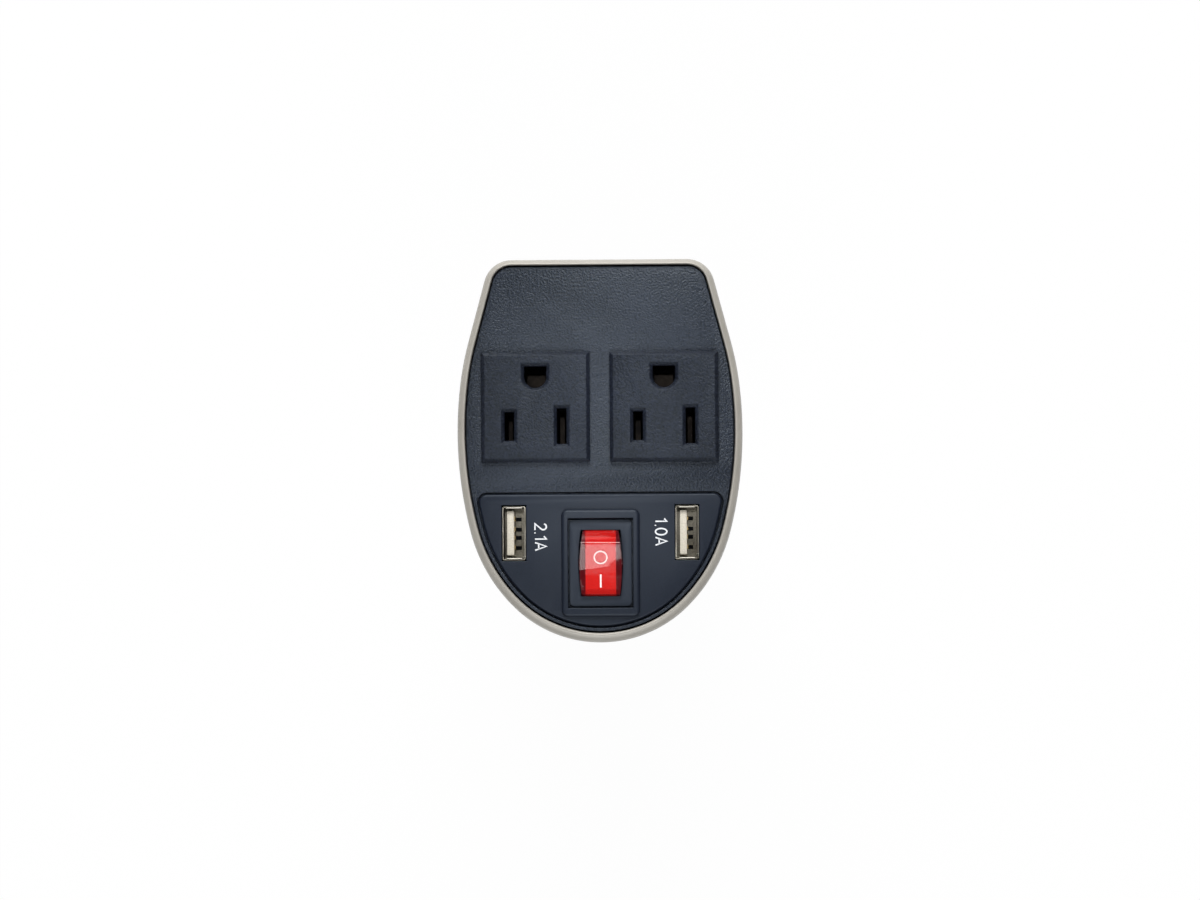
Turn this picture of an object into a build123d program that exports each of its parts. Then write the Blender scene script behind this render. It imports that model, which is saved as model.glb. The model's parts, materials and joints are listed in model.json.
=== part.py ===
from build123d import *
import os
from math import asin, cos, degrees, radians, sin, sqrt, tan

# Cup-holder power inverter. Millimetres, +Z up, the face with the outlets on top. The origin
# is on the resting plane, under the centre of the face outline. The flat rear looks along +Y,
# the bowed nose along -Y. The round barrel that stands in the cup holder sits nearer the nose.

# Face outline: five tangent arcs and one straight side on each half
head_width = 69.4
head_length = 93.2
nose_turn, cheek_turn, flank_turn = 44.5, 31.0, 21.5
side_lean = 15.0
cheek_radius, flank_radius, shoulder_radius = 39.5, 97.0, 72.0
corner_radius = 6.9

# Trim ring: wider in front than behind, so its inner edge is set back
rim_width = 1.9
rim_setback = 0.45
ring_height = 5.2
ring_slope = 0.6
ring_draft = 0.5
ring_edge_bevel = 0.35
shadow_gap = 0.45

# Levels of the head
face_level = 156.0
panel_thickness = 3.5
neck_level = 104.0
shoulder_height = 24.0
head_wall = 2.4
rim_wall = 1.5
head_draft = 0.7
ledge_width = 1.8
ledge_thickness = 2.5
rim_below_face = 5.0
ledge_below_rim = 2.0
head_floor = 2.5
cable_hole_radius = 20.0

# Barrel
barrel_setback = -8.0
neck_radius = 33.2
neck_rear_radius = 32.0
neck_run = 0.6
neck_ledge = 0.6
shoulder_steps = 5
barrel_radius = 32.0
barrel_foot_radius = 30.0
barrel_taper_height = 16.0
barrel_wall = 2.2
boss_floor, vent_start, vent_reach = 2.0, 2.0, 8.0
vent_count = 22
vent_width, vent_height, vent_above = 2.2, 11.0, 5.0
vent_rear_gap = 4

# Grip sleeve
sleeve_low, sleeve_height = 30.0, 48.0
sleeve_thickness = 1.5
sleeve_recess = 1.0
sleeve_wall = 2.0
sleeve_rib_count, sleeve_rib_pitch, sleeve_rib_depth = 6, 3.2, 0.6
sleeve_rib_start = 3.0
soft_clearance = 0.2

# Base, feet and fan
foot_height, foot_radius, foot_edge = 1.5, 4.2, 0.3
cap_floor, cap_height, cap_wall = 2.5, 6.5, 2.8
cap_edge = 1.6
base_screw_circle, base_screw_reach = 25.2, 4.0
boss_radius = 3.2
boss_height = 16.0
fan_size, fan_depth, fan_bore_radius, fan_corner = 40.0, 10.0, 19.0, 3.5
fan_hole_spacing = 32.0
fan_hub_radius, fan_blade_count = 9.0, 7
fan_blade_gap = 0.7
fan_shaft_radius, fan_bearing_clearance = 1.0, 0.06
fan_strut_thickness, fan_strut_width, fan_strut_overlap = 1.3, 2.4, 0.75
rotor_rise, rotor_gap, rotor_round = 0.8, 0.6, 0.8
blade_thickness, blade_root_pitch, blade_tip_pitch = 0.8, 38, 26
blade_root_chord, blade_tip_chord, blade_root_overlap, blade_tip_overlap = 6.6, 8.2, 1.5, 0.3
grille_bar, grille_spoke, grille_ring_count = 1.5, 2.1, 3
grille_radius, grille_hub_radius = 18.5, 7.0

# Screws: pan heads, the shank runs in a hole with a small clearance
screw_radius, screw_head_radius, screw_head_height = 1.4, 2.7, 1.7
screw_clearance = 0.1

# Cord gland in the rear of the barrel
gland_level = 91.0
gland_radius, gland_flange_radius, gland_bore_radius = 5.5, 7.0, 3.0
gland_flange, gland_length = 2.0, 12.0
gland_seat_depth, gland_round = 0.8, 0.8

# Outlet blocks
outlet_pitch = 31.2
outlet_centre_y = 10.6
outlet_width, outlet_length, outlet_rise = 26.4, 26.7, 1.8
outlet_edge = 0.85
outlet_body, outlet_depth = 24.0, 17.0
outlet_face = 3.0
outlet_fit = 0.2
outlet_cover, cover_round, cover_slot_length, cover_slot_fit = 2.0, 1.5, 4.2, 0.1
slot_spacing = 12.7
slot_drop = 4.66
slot_width, hot_slot_length, neutral_slot_length = 2.3, 7.0, 8.65
mouth_bevel = 0.78
ground_rise = 7.27
ground_width, ground_length = 5.4, 5.24
contact_sheet = 0.6
contact_top_gap, contact_flare, contact_flare_height = 1.2, 0.7, 2.5
contact_tab_width, contact_tab_length = 4.0, 7.0
pin_gap, hot_contact_length, neutral_contact_length = 1.3, 6.0, 7.6
ground_setback, ground_gap, ground_contact_length = 0.6, 4.7, 4.4
pocket_width, pocket_margin, ground_pocket = 5.6, 1.2, 8.2

# Control panel and its groove
control_from_nose = 36.14
control_inset = 1.6
control_groove = 0.4
control_thickness = 2.0
control_bevel = 0.4
control_corner = 2.1

# Rocker switch
switch_from_nose = 19.3
bezel_width, bezel_length, bezel_rise = 19.0, 26.1, 1.0
bezel_corner, bezel_round = 1.6, 0.85
bezel_inner_width, bezel_inner_length = 15.8, 21.7
flange_width, flange_length, flange_thickness = 15.0, 21.0, 2.0
flange_corner = 1.2
switch_body_width, switch_body_length, switch_depth = 13.0, 19.8, 14.5
switch_wall, switch_fit = 0.9, 0.1
switch_floor = 2.0
opening_length, opening_width, opening_end_width, opening_lip = 16.0, 10.8, 9.6, 1.4
rocker_tilt = 10.0
pivot_depth = 5.0
rocker_end_gap = 0.24
cavity_clearance = 0.22
pressed_rise = 1.23
facet_run = 6.33
rocker_width, rocker_end_width = 10.2, 8.8
rocker_wall = 1.0
rocker_skirt, rocker_skirt_wall = 2.2, 0.9
rocker_belly_width, rocker_waist_width, rocker_waist, rocker_keel = 3.2, 2.4, 1.2, 2.4
rocker_round, rocker_low, rocker_end_wall = 0.7, 4.0, 2.2
core_width = 7.5
core_clearance = 0.1
trunnion_radius, trunnion_length, trunnion_clearance = 1.2, 1.1, 0.06
stem_half, stem_drop, stem_spread, stem_slope = 2.2, 3.4, 0.8, 1.2
spring_hole_rise, spring_side_gap = 1.6, 0.1
plunger_reach = 6.9
plunger_radius = 1.0
plunger_head, plunger_head_thickness, plunger_round = 1.6, 0.8, 0.7
spring_radius, spring_wire, spring_turns, spring_end_gap = 1.1, 0.18, 4, 0.05
seesaw_drop, seesaw_tilt = 7.6, 7.0
seesaw_half, seesaw_width, seesaw_sheet = 5.8, 4.0, 0.6
seesaw_tip_radius, seesaw_tip_height, seesaw_tip_reach = 1.1, 0.5, 4.8
seesaw_bead_radius = 0.8
terminal_width, terminal_sheet, terminal_length, terminal_tip = 4.8, 0.8, 8.0, 1.0
running_gap = 0.15
lamp_radius, lamp_length = 1.3, 4.0
lamp_cover, lamp_fit, lamp_round = 1.2, 0.1, 0.9

# USB-A ports: the standard's opening, with the tongue off centre
usb_from_side, usb_from_nose = 13.72, 26.65
usb_window_width, usb_window_length = 5.9, 13.6
usb_shell_width, usb_shell_length, usb_shell_sheet = 5.7, 13.1, 0.3
usb_shell_depth, usb_recess = 14.6, 0.4
usb_tongue_width, usb_tongue_length, usb_tongue_offset = 1.84, 10.9, -0.87
usb_tongue_recess = 1.2
usb_block_height, usb_block_fit = 4.5, 0.05
usb_contact_sheet, usb_contact_width, usb_contact_recess = 0.2, 1.1, 1.0
usb_contact_places = (-3.5, -1.0, 1.0, 3.5)
usb_shell_round = 0.6
usb_relief_width, usb_relief_length = 1.0, 1.45
usb_board_thickness, usb_board_margin = 1.6, 3.22
usb_board_behind, usb_board_before, usb_board_gap = 7.95, 7.35, 0.6
usb_notch_gap = 1.0
usb_post_inside, usb_post_behind, usb_post_radius = 8.48, 5.15, 2.4
usb_post_hole, usb_screw_reach = 6.0, 4.0

# Head fasteners
head_screw_circle = 27.0
rear_boss_from_side, rear_boss_from_rear = 12.7, 7.3
front_boss_from_side, front_boss_from_nose = 21.2, 10.6
panel_boss_radius, panel_boss_clearance = 3.0, 1.0
head_screw_reach, panel_screw_reach = 9.0, 2.5

# Main board and what it carries
board_setback = 8.0
board_width, board_thickness, board_low, board_high = 54.0, 1.6, 20.0, 101.0
board_clearance = 0.15
rail_reach, rail_width, rail_depth, rail_wall = 25.0, 3.8, 2.2, 1.5
sink_width, sink_height, sink_base, sink_fin = 40.0, 22.0, 3.0, 9.0
sink_fin_count, sink_fin_thickness, sink_rise = 9, 1.2, 3.0
transistor_width, transistor_height, transistor_thickness = 8.0, 12.0, 3.6
transistor_count, transistor_gap = 4, 1.5
core_size, core_leg, core_depth = 33.0, 5.0, 12.0
core_middle = 10.0
core_stand, core_edge, parts_gap = 1.5, 0.5, 2.0
winding_gap, winding_relief = 0.3, 2.0
bobbin_round = 2.0
choke_radius, choke_bore, choke_depth, choke_round = 7.0, 3.0, 7.0, 1.2
capacitor_radius, capacitor_length = 5.0, 15.0
capacitor_spacing, capacitor_round = 36.0, 0.8
fuse_width, fuse_height, fuse_depth = 12.0, 9.0, 4.0
fuse_aside, fuse_edge = 12.0, 0.6
buzzer_radius, buzzer_depth, buzzer_bore = 6.0, 7.0, 1.0
buzzer_aside, buzzer_bore_depth = 10.0, 2.0

# Worked-out sizes of the face outline
widest_turn = nose_turn + cheek_turn
shoulder_turn = 90 + side_lean - nose_turn - cheek_turn - flank_turn
nose_radius = (
    head_width / 2
    - cheek_radius * (sin(radians(widest_turn)) - sin(radians(nose_turn)))
    - flank_radius * (1 - sin(radians(widest_turn)))
) / sin(radians(nose_turn))


def arc_rise(radius, start_turn, turn):
    """How far along Y an arc climbs that starts at start_turn from the X direction."""
    return radius * (cos(radians(start_turn)) - cos(radians(start_turn + turn)))


side_run = (
    head_length
    - arc_rise(nose_radius, 0, nose_turn)
    - arc_rise(cheek_radius, nose_turn, cheek_turn)
    - arc_rise(flank_radius, widest_turn, flank_turn)
    - arc_rise(shoulder_radius, widest_turn + flank_turn, shoulder_turn)
    - arc_rise(corner_radius, 90 + side_lean, 90 - side_lean)
) / cos(radians(side_lean))

# Places on the face, measured from the nose, the sides and the rear of its outline
control_top_edge = control_from_nose - head_length / 2
switch_centre_y = switch_from_nose - head_length / 2
usb_centre_x = head_width / 2 - usb_from_side
usb_centre_y = usb_from_nose - head_length / 2
usb_board_width = 2 * (usb_centre_x + usb_board_margin)
usb_board_rear = usb_centre_y + usb_board_behind
usb_board_front = usb_centre_y - usb_board_before
usb_board_notch = switch_centre_y + switch_body_length / 2 + usb_board_gap
usb_post_x, usb_post_y = usb_centre_x - usb_post_inside, usb_centre_y + usb_post_behind
panel_boss_places = [
    (side * (head_width / 2 - from_side), y)
    for from_side, y in (
        (rear_boss_from_side, head_length / 2 - rear_boss_from_rear),
        (front_boss_from_side, front_boss_from_nose - head_length / 2),
    )
    for side in (1, -1)
]

# Other worked-out levels
rim_level = face_level - rim_below_face
ledge_level = rim_level - ledge_below_rim
panel_floor = face_level - panel_thickness
barrel_low = foot_height + cap_height
pivot_level = face_level - pivot_depth
usb_board_level = face_level - usb_recess - usb_shell_depth
outlet_low = face_level - outlet_depth
barrel_inner = barrel_radius - sleeve_recess - sleeve_wall
barrel_axis = Plane((0, barrel_setback, 0))


def d_outline(front, radii, run, inset=0.0):
    """Half the D from the nose to the rear, mirrored; inset moves every arc inwards alike."""
    turns = (nose_turn, cheek_turn, flank_turn, shoulder_turn)
    with BuildSketch() as outline:
        with BuildLine():
            arc = JernArc((0, front + inset), (1, 0), radii[0] - inset, turns[0])
            for radius, turn in zip(radii[1:4], turns[1:]):
                arc = JernArc(arc @ 1, arc % 1, radius - inset, turn)
            side = PolarLine(arc @ 1, run, direction=arc % 1)
            corner = JernArc(side @ 1, side % 1, radii[4] - inset, 90 - side_lean)
            Line(corner @ 1, (0, (corner @ 1).Y))
            mirror(about=Plane.YZ)
        make_face()
    return outline.sketch


head_radii = (nose_radius, cheek_radius, flank_radius, shoulder_radius, corner_radius)


def head_outline(inset=0.0, setback=0.0):
    """The outline of the face, moved inwards by inset and to the rear by setback."""
    return d_outline(setback - head_length / 2, head_radii, side_run, inset)


def shoulder_outline(share):
    """A section of the shoulder: round at the neck, share 0, and the face outline at 1."""
    neck_radii = (neck_radius,) * 4 + (neck_rear_radius,)
    radii = [(1 - share) * n + share * h for n, h in zip(neck_radii, head_radii)]
    front = (1 - share) * (barrel_setback - neck_radius) - share * head_length / 2
    run = (1 - share) * neck_run + share * side_run
    return d_outline(front, radii, run, share * head_draft)


def head_sections():
    """Sections of the head from the neck over the flowing shoulder to the drafted rim."""
    sections = []
    for step in range(shoulder_steps + 1):
        rise = step / shoulder_steps
        share = rise * rise * (3 - 2 * rise)
        with BuildSketch(Plane.XY.offset(neck_level + shoulder_height * rise)) as section:
            add(shoulder_outline(share))
        sections.append(section.sketch)
    with BuildSketch(Plane.XY.offset(rim_level)) as rim:
        add(head_outline())
    return [*sections, rim.sketch]


def make_screws(name, places, seat, length, down=True):
    """One group of equal pan-head screws: places are XY points, seat is under the heads."""
    with BuildPart() as screws:
        way = 1 if down else -1
        for place in places:
            with BuildSketch(Plane.XY.offset(seat)):
                with Locations(place):
                    Circle(screw_head_radius)
            extrude(amount=screw_head_height * way)
        with BuildSketch(Plane.XY.offset(seat)):
            with Locations(*places):
                Circle(screw_radius)
        extrude(amount=-length * way)
        heads = screws.faces().filter_by(Axis.Z).group_by(Axis.Z)[-1 if down else 0]
        fillet(heads.edges(), screw_head_height * 0.45)
    finish(screws, name)


def finish(builder, name):
    """Label a finished piece and write its file."""
    builder.part.label = name
    export_step(builder.part, f"parts/{name}.step")


def ring_places(radius, count, first=0.0):
    """Points spaced evenly round the barrel's axis."""
    return [
        (
            radius * cos(radians(first + 360 / count * i)),
            barrel_setback + radius * sin(radians(first + 360 / count * i)),
        )
        for i in range(count)
    ]


os.makedirs("parts", exist_ok=True)

base_screw_places = ring_places(base_screw_circle, 4)
fan_screw_places = [
    (x * fan_hole_spacing / 2, barrel_setback + y * fan_hole_spacing / 2)
    for x in (-1, 1)
    for y in (-1, 1)
]
cap_floor_top = foot_height + cap_floor
fan_top = cap_floor_top + fan_depth
head_screw_places = ring_places(head_screw_circle, 4, 45)
screw_hole = screw_radius + screw_clearance

# Rubber feet: four pads that cover the base screws
with BuildPart() as rubber_feet:
    with BuildSketch():
        with Locations(*base_screw_places):
            Circle(foot_radius)
    extrude(amount=foot_height)
    chamfer(rubber_feet.faces().sort_by(Axis.Z)[:4].edges(), foot_edge)
finish(rubber_feet, "rubber_feet")

# Base cap: dished disc with the fan's intake grille and bosses for the base screws
with BuildPart() as base_cap:
    with BuildSketch(barrel_axis.offset(foot_height)):
        Circle(barrel_foot_radius)
    extrude(amount=cap_height)
    fillet(base_cap.edges().filter_by(GeomType.CIRCLE).sort_by(Axis.Z)[0], cap_edge)
    with BuildSketch(barrel_axis.offset(cap_floor_top)):
        Circle(barrel_foot_radius - cap_wall)
    extrude(amount=cap_height, mode=Mode.SUBTRACT)
    with BuildSketch(Plane.XY.offset(cap_floor_top)):
        with Locations(*base_screw_places):
            Circle(boss_radius)
    extrude(amount=cap_height - cap_floor)
    with BuildSketch(barrel_axis.offset(foot_height)):
        Circle(grille_radius)
    extrude(amount=cap_floor, mode=Mode.SUBTRACT)
    with BuildSketch(barrel_axis.offset(foot_height + cap_floor / 4)):
        ring_pitch = (grille_radius - grille_hub_radius) / (grille_ring_count + 1)
        for ring in range(grille_ring_count, 0, -1):
            ring_radius = grille_hub_radius + ring * ring_pitch
            Circle(ring_radius + grille_bar / 2)
            Circle(ring_radius - grille_bar / 2, mode=Mode.SUBTRACT)
        Circle(grille_hub_radius)
        with PolarLocations(0, 2, 45, 90):
            Rectangle(2 * grille_radius + grille_bar, grille_spoke)
    extrude(amount=cap_floor / 2)
    with BuildSketch(Plane.XY.offset(foot_height)):
        with Locations(*base_screw_places, *fan_screw_places):
            Circle(screw_hole)
    extrude(amount=cap_height, mode=Mode.SUBTRACT)
    with BuildSketch(Plane.XY.offset(foot_height)):
        with Locations(*base_screw_places):
            Circle(screw_head_radius + screw_clearance)
    extrude(amount=screw_head_height + screw_clearance, mode=Mode.SUBTRACT)
finish(base_cap, "base_cap")

make_screws(
    "base_screws",
    base_screw_places,
    foot_height + screw_head_height + screw_clearance,
    cap_height + base_screw_reach,
    down=False,
)

# Cooling fan frame: square duct with four corner holes, four struts and the motor's bearing
with BuildPart() as fan_frame:
    with BuildSketch(barrel_axis.offset(cap_floor_top)):
        RectangleRounded(fan_size, fan_size, fan_corner)
        Circle(fan_bore_radius, mode=Mode.SUBTRACT)
    extrude(amount=fan_depth)
    with BuildSketch(barrel_axis.offset(fan_top - fan_strut_thickness)):
        Circle(fan_hub_radius)
        with PolarLocations((fan_bore_radius + fan_hub_radius) / 2, 4, 45):
            Rectangle(
                fan_bore_radius - fan_hub_radius + 2 * fan_strut_overlap, fan_strut_width
            )
        Circle(fan_shaft_radius + fan_bearing_clearance, mode=Mode.SUBTRACT)
    extrude(amount=fan_strut_thickness)
    with BuildSketch(Plane.XY.offset(cap_floor_top)):
        with Locations(*fan_screw_places):
            Circle(screw_hole)
    extrude(amount=fan_depth, mode=Mode.SUBTRACT)
finish(fan_frame, "fan_frame")

# Fan rotor: hub cup with seven pitched blades and the steel shaft end moulded in
blade_tip = fan_bore_radius - fan_blade_gap
rotor_low, rotor_high = cap_floor_top + rotor_rise, fan_top - fan_strut_thickness - rotor_gap
blade_ends = (
    (fan_hub_radius - blade_root_overlap, blade_root_pitch, blade_root_chord),
    (blade_tip - blade_tip_overlap, blade_tip_pitch, blade_tip_chord),
)
with BuildPart() as fan_rotor:
    with BuildSketch(barrel_axis.offset(rotor_low)):
        Circle(fan_hub_radius)
    extrude(amount=rotor_high - rotor_low)
    fillet(fan_rotor.edges().filter_by(GeomType.CIRCLE).sort_by(Axis.Z)[0], rotor_round)
    with BuildSketch(barrel_axis.offset(rotor_high)):
        Circle(fan_shaft_radius)
    extrude(amount=fan_top - rotor_high)
    for blade in range(fan_blade_count):
        outward = Plane(barrel_axis.origin + Vector(0, 0, (rotor_low + rotor_high) / 2)).rotated(
            (0, 0, 360 / fan_blade_count * blade)
        )
        root = Plane(outward.origin, x_dir=outward.y_dir, z_dir=outward.x_dir)
        for reach, pitch, chord in blade_ends:
            with BuildSketch(root.offset(reach)):
                with Locations(Rotation(0, 0, pitch)):
                    SlotOverall(chord, blade_thickness)
        loft(ruled=True)
    with BuildSketch(barrel_axis.offset(cap_floor_top)):
        Circle(blade_tip)
    extrude(amount=fan_depth, mode=Mode.INTERSECT)
finish(fan_rotor, "fan_rotor")

make_screws("fan_screws", fan_screw_places, fan_top, fan_depth + cap_floor)

# Barrel housing: tapered foot, straight grip, vents below the head, board rails and bosses
barrel_top = neck_level
with BuildPart() as barrel_housing:
    with BuildSketch(Plane((0, barrel_setback, 0), x_dir=(1, 0, 0), z_dir=(0, -1, 0))):
        with BuildLine():
            Polyline(
                (0, barrel_low),
                (barrel_foot_radius, barrel_low),
                (barrel_radius, barrel_low + barrel_taper_height),
                (barrel_radius, sleeve_low),
                (barrel_radius - sleeve_recess, sleeve_low),
                (barrel_radius - sleeve_recess, sleeve_low + sleeve_height),
                (barrel_radius, sleeve_low + sleeve_height),
                (barrel_radius, barrel_top),
                (0, barrel_top),
                close=True,
            )
        make_face()
    revolve(axis=Axis((0, barrel_setback, 0), (0, 0, 1)))
    with BuildSketch(Plane((0, barrel_setback, 0), x_dir=(1, 0, 0), z_dir=(0, -1, 0))):
        with BuildLine():
            Polyline(
                (0, barrel_low),
                (barrel_foot_radius - barrel_wall, barrel_low),
                (barrel_inner, barrel_low + barrel_taper_height),
                (barrel_inner, barrel_top),
                (0, barrel_top),
                close=True,
            )
        make_face()
    revolve(axis=Axis((0, barrel_setback, 0), (0, 0, 1)), mode=Mode.SUBTRACT)
    with BuildSketch(Plane.XY.offset(barrel_low)):
        with Locations(*base_screw_places):
            Circle(boss_radius)
    extrude(amount=boss_height)
    with BuildSketch(Plane.XY.offset(barrel_top - boss_height)):
        with Locations(*head_screw_places):
            Circle(boss_radius)
    extrude(amount=boss_height)
    with BuildSketch(barrel_axis.offset(board_low)):
        with Locations((0, board_setback)):
            for side in (-1, 1):
                with Locations((side * (rail_reach + rail_width / 2), 0)):
                    Rectangle(rail_width, board_thickness + 2 * (board_clearance + rail_wall))
            slot_span = 2 * (rail_reach + rail_depth)
            Rectangle(slot_span, board_thickness + 2 * board_clearance, mode=Mode.SUBTRACT)
    extrude(amount=board_high - board_low)
    with BuildSketch(Plane.XY.offset(barrel_low)):
        with Locations(*base_screw_places):
            Circle(screw_hole)
    extrude(amount=boss_height - boss_floor, mode=Mode.SUBTRACT)
    with BuildSketch(Plane.XY.offset(barrel_top)):
        with Locations(*head_screw_places):
            Circle(screw_hole)
    extrude(amount=-(boss_height - boss_floor), mode=Mode.SUBTRACT)
    vent_level = barrel_top - vent_above - vent_height / 2
    for vent in range(vent_count):
        turn = 90 + 360 / vent_count * vent
        off_rear = min(vent, vent_count - vent)
        if off_rear * 2 > vent_rear_gap:
            wall = Plane(
                (
                    (barrel_inner - vent_start) * cos(radians(turn)),
                    barrel_setback + (barrel_inner - vent_start) * sin(radians(turn)),
                    vent_level,
                ),
                x_dir=(-sin(radians(turn)), cos(radians(turn)), 0),
                z_dir=(cos(radians(turn)), sin(radians(turn)), 0),
            )
            with BuildSketch(wall):
                SlotOverall(vent_height, vent_width, rotation=90)
            extrude(amount=vent_reach, mode=Mode.SUBTRACT)
    with BuildSketch(Plane((0, barrel_setback, gland_level), x_dir=(-1, 0, 0), z_dir=(0, 1, 0))):
        Circle(gland_radius + screw_clearance)
    extrude(amount=barrel_radius + gland_flange, mode=Mode.SUBTRACT)
finish(barrel_housing, "barrel_housing")

# Grip sleeve: rubber band in the barrel's recess, ribbed above and plain below
sleeve_outer = barrel_radius - sleeve_recess + sleeve_thickness
sleeve_inner = barrel_radius - sleeve_recess + soft_clearance
with BuildPart() as grip_sleeve:
    with BuildSketch(barrel_axis.offset(sleeve_low + soft_clearance)):
        Circle(sleeve_outer)
        Circle(sleeve_inner, mode=Mode.SUBTRACT)
    extrude(amount=sleeve_height - 2 * soft_clearance)
    first_rib = sleeve_low + sleeve_height - sleeve_rib_start
    for rib in range(sleeve_rib_count):
        with BuildSketch(barrel_axis.offset(first_rib - rib * sleeve_rib_pitch)):
            Circle(sleeve_outer)
            Circle(sleeve_outer - sleeve_rib_depth, mode=Mode.SUBTRACT)
        extrude(amount=-sleeve_rib_pitch / 2, mode=Mode.SUBTRACT)
finish(grip_sleeve, "grip_sleeve")

# Cord gland: flanged bush in the rear of the barrel, with the bore for the supply lead
gland_face = barrel_setback + barrel_radius + gland_flange
with BuildPart() as cord_gland:
    with BuildSketch(Plane((0, gland_face, gland_level), x_dir=(-1, 0, 0), z_dir=(0, 1, 0))):
        Circle(gland_flange_radius)
    extrude(amount=-(gland_flange + gland_seat_depth))
    with BuildSketch(barrel_axis.offset(gland_level - gland_flange_radius)):
        Circle(barrel_radius + soft_clearance / 2)
    extrude(amount=2 * gland_flange_radius, mode=Mode.SUBTRACT)
    with BuildSketch(Plane((0, gland_face, gland_level), x_dir=(-1, 0, 0), z_dir=(0, 1, 0))):
        Circle(gland_radius)
    extrude(amount=-gland_length)
    fillet(cord_gland.edges().filter_by(GeomType.CIRCLE).sort_by(Axis.Y)[-1], gland_round)
    with BuildSketch(Plane((0, gland_face, gland_level), x_dir=(-1, 0, 0), z_dir=(0, 1, 0))):
        Circle(gland_bore_radius)
    extrude(amount=-gland_length, mode=Mode.SUBTRACT)
finish(cord_gland, "cord_gland")

# Main board: stands in the barrel's rails
board_y = barrel_setback + board_setback
board_front = board_y - board_thickness / 2
board_face = Plane((0, board_front, 0), x_dir=(1, 0, 0), z_dir=(0, -1, 0))
with BuildPart() as main_board:
    with BuildSketch(board_face):
        with Locations((0, (board_low + board_high) / 2)):
            Rectangle(board_width, board_high - board_low)
    extrude(amount=-board_thickness)
finish(main_board, "main_board")

# Heat sink: flat base on the board with upright fins
sink_level = board_low + sink_rise + sink_height / 2
with BuildPart() as heat_sink:
    with BuildSketch(board_face):
        with Locations((0, sink_level)):
            Rectangle(sink_width, sink_height)
    extrude(amount=sink_base)
    fin_pitch = (sink_width - sink_fin_thickness) / (sink_fin_count - 1)
    with BuildSketch(board_face.offset(sink_base)):
        with Locations((0, sink_level)):
            with GridLocations(fin_pitch, 0, sink_fin_count, 1):
                Rectangle(sink_fin_thickness, sink_height)
    extrude(amount=sink_fin)
finish(heat_sink, "heat_sink")

# Power transistors: four packages clamped to the back of the board, over the heat sink
board_back = board_face.offset(-board_thickness)
with BuildPart() as power_transistors:
    with BuildSketch(board_back):
        with Locations((0, sink_level)):
            with GridLocations(transistor_width + transistor_gap, 0, transistor_count, 1):
                Rectangle(transistor_width, transistor_height)
    extrude(amount=-transistor_thickness)
finish(power_transistors, "power_transistors")

# Transformer: ferrite core of two E halves round a wound bobbin
core_level = sink_level + sink_height / 2 + parts_gap + core_size / 2
window = (core_size - core_middle - 2 * core_leg) / 2
with BuildPart() as transformer_core:
    with BuildSketch(board_face.offset(core_stand)):
        with Locations((0, core_level)):
            Rectangle(core_size, core_size)
            with GridLocations(core_middle + window, 0, 2, 1):
                Rectangle(window, core_size - 2 * core_leg, mode=Mode.SUBTRACT)
    extrude(amount=core_depth)
    chamfer(transformer_core.edges().filter_by(Axis.Y), core_edge)
finish(transformer_core, "transformer_core")

with BuildPart() as transformer_winding:
    with BuildSketch(Plane.XY.offset(core_level)):
        with Locations((0, board_front - core_stand - core_depth / 2)):
            RectangleRounded(
                core_middle + 2 * (window - winding_gap),
                core_depth + 2 * (window - winding_gap - winding_relief),
                bobbin_round,
            )
            Rectangle(
                core_middle + 2 * winding_gap, core_depth + 2 * winding_gap, mode=Mode.SUBTRACT
            )
    extrude(amount=core_size / 2 - core_leg - winding_gap, both=True)
    with BuildSketch(board_face):
        with Locations((0, core_level)):
            Rectangle(core_size, core_size)
    extrude(amount=-core_depth, mode=Mode.SUBTRACT)
finish(transformer_winding, "transformer_winding")

# Electrolytic capacitors lie against the board above the transformer
part_level = core_level + core_size / 2 + parts_gap
with BuildPart() as capacitors:
    with BuildSketch(board_face):
        with Locations((0, part_level + capacitor_radius)):
            with GridLocations(capacitor_spacing, 0, 2, 1):
                Circle(capacitor_radius)
    extrude(amount=capacitor_length)
    tops = capacitors.faces().filter_by(Axis.Y).group_by(Axis.Y)[0]
    fillet(tops.edges(), capacitor_round)
finish(capacitors, "capacitors")

# Output choke: toroid standing on the board
with BuildPart() as output_choke:
    with BuildSketch(board_face):
        with Locations((0, part_level + choke_radius)):
            Circle(choke_radius)
            Circle(choke_bore, mode=Mode.SUBTRACT)
    extrude(amount=choke_depth)
    fillet(output_choke.edges().filter_by(GeomType.CIRCLE), choke_round)
finish(output_choke, "output_choke")

# Input fuse on the back of the board, near the cord
with BuildPart() as input_fuse:
    with BuildSketch(board_back):
        with Locations((-fuse_aside, core_level)):
            Rectangle(fuse_width, fuse_height)
    extrude(amount=-fuse_depth)
    chamfer(input_fuse.faces().sort_by(Axis.Y)[-1].edges(), fuse_edge)
finish(input_fuse, "input_fuse")

# Low-battery buzzer on the back of the board
with BuildPart() as alarm_buzzer:
    with BuildSketch(board_back):
        with Locations((buzzer_aside, core_level)):
            Circle(buzzer_radius)
    extrude(amount=-buzzer_depth)
    with BuildSketch(board_back.offset(-buzzer_depth)):
        with Locations((buzzer_aside, core_level)):
            Circle(buzzer_bore)
    extrude(amount=buzzer_bore_depth, mode=Mode.SUBTRACT)
finish(alarm_buzzer, "alarm_buzzer")

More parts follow.
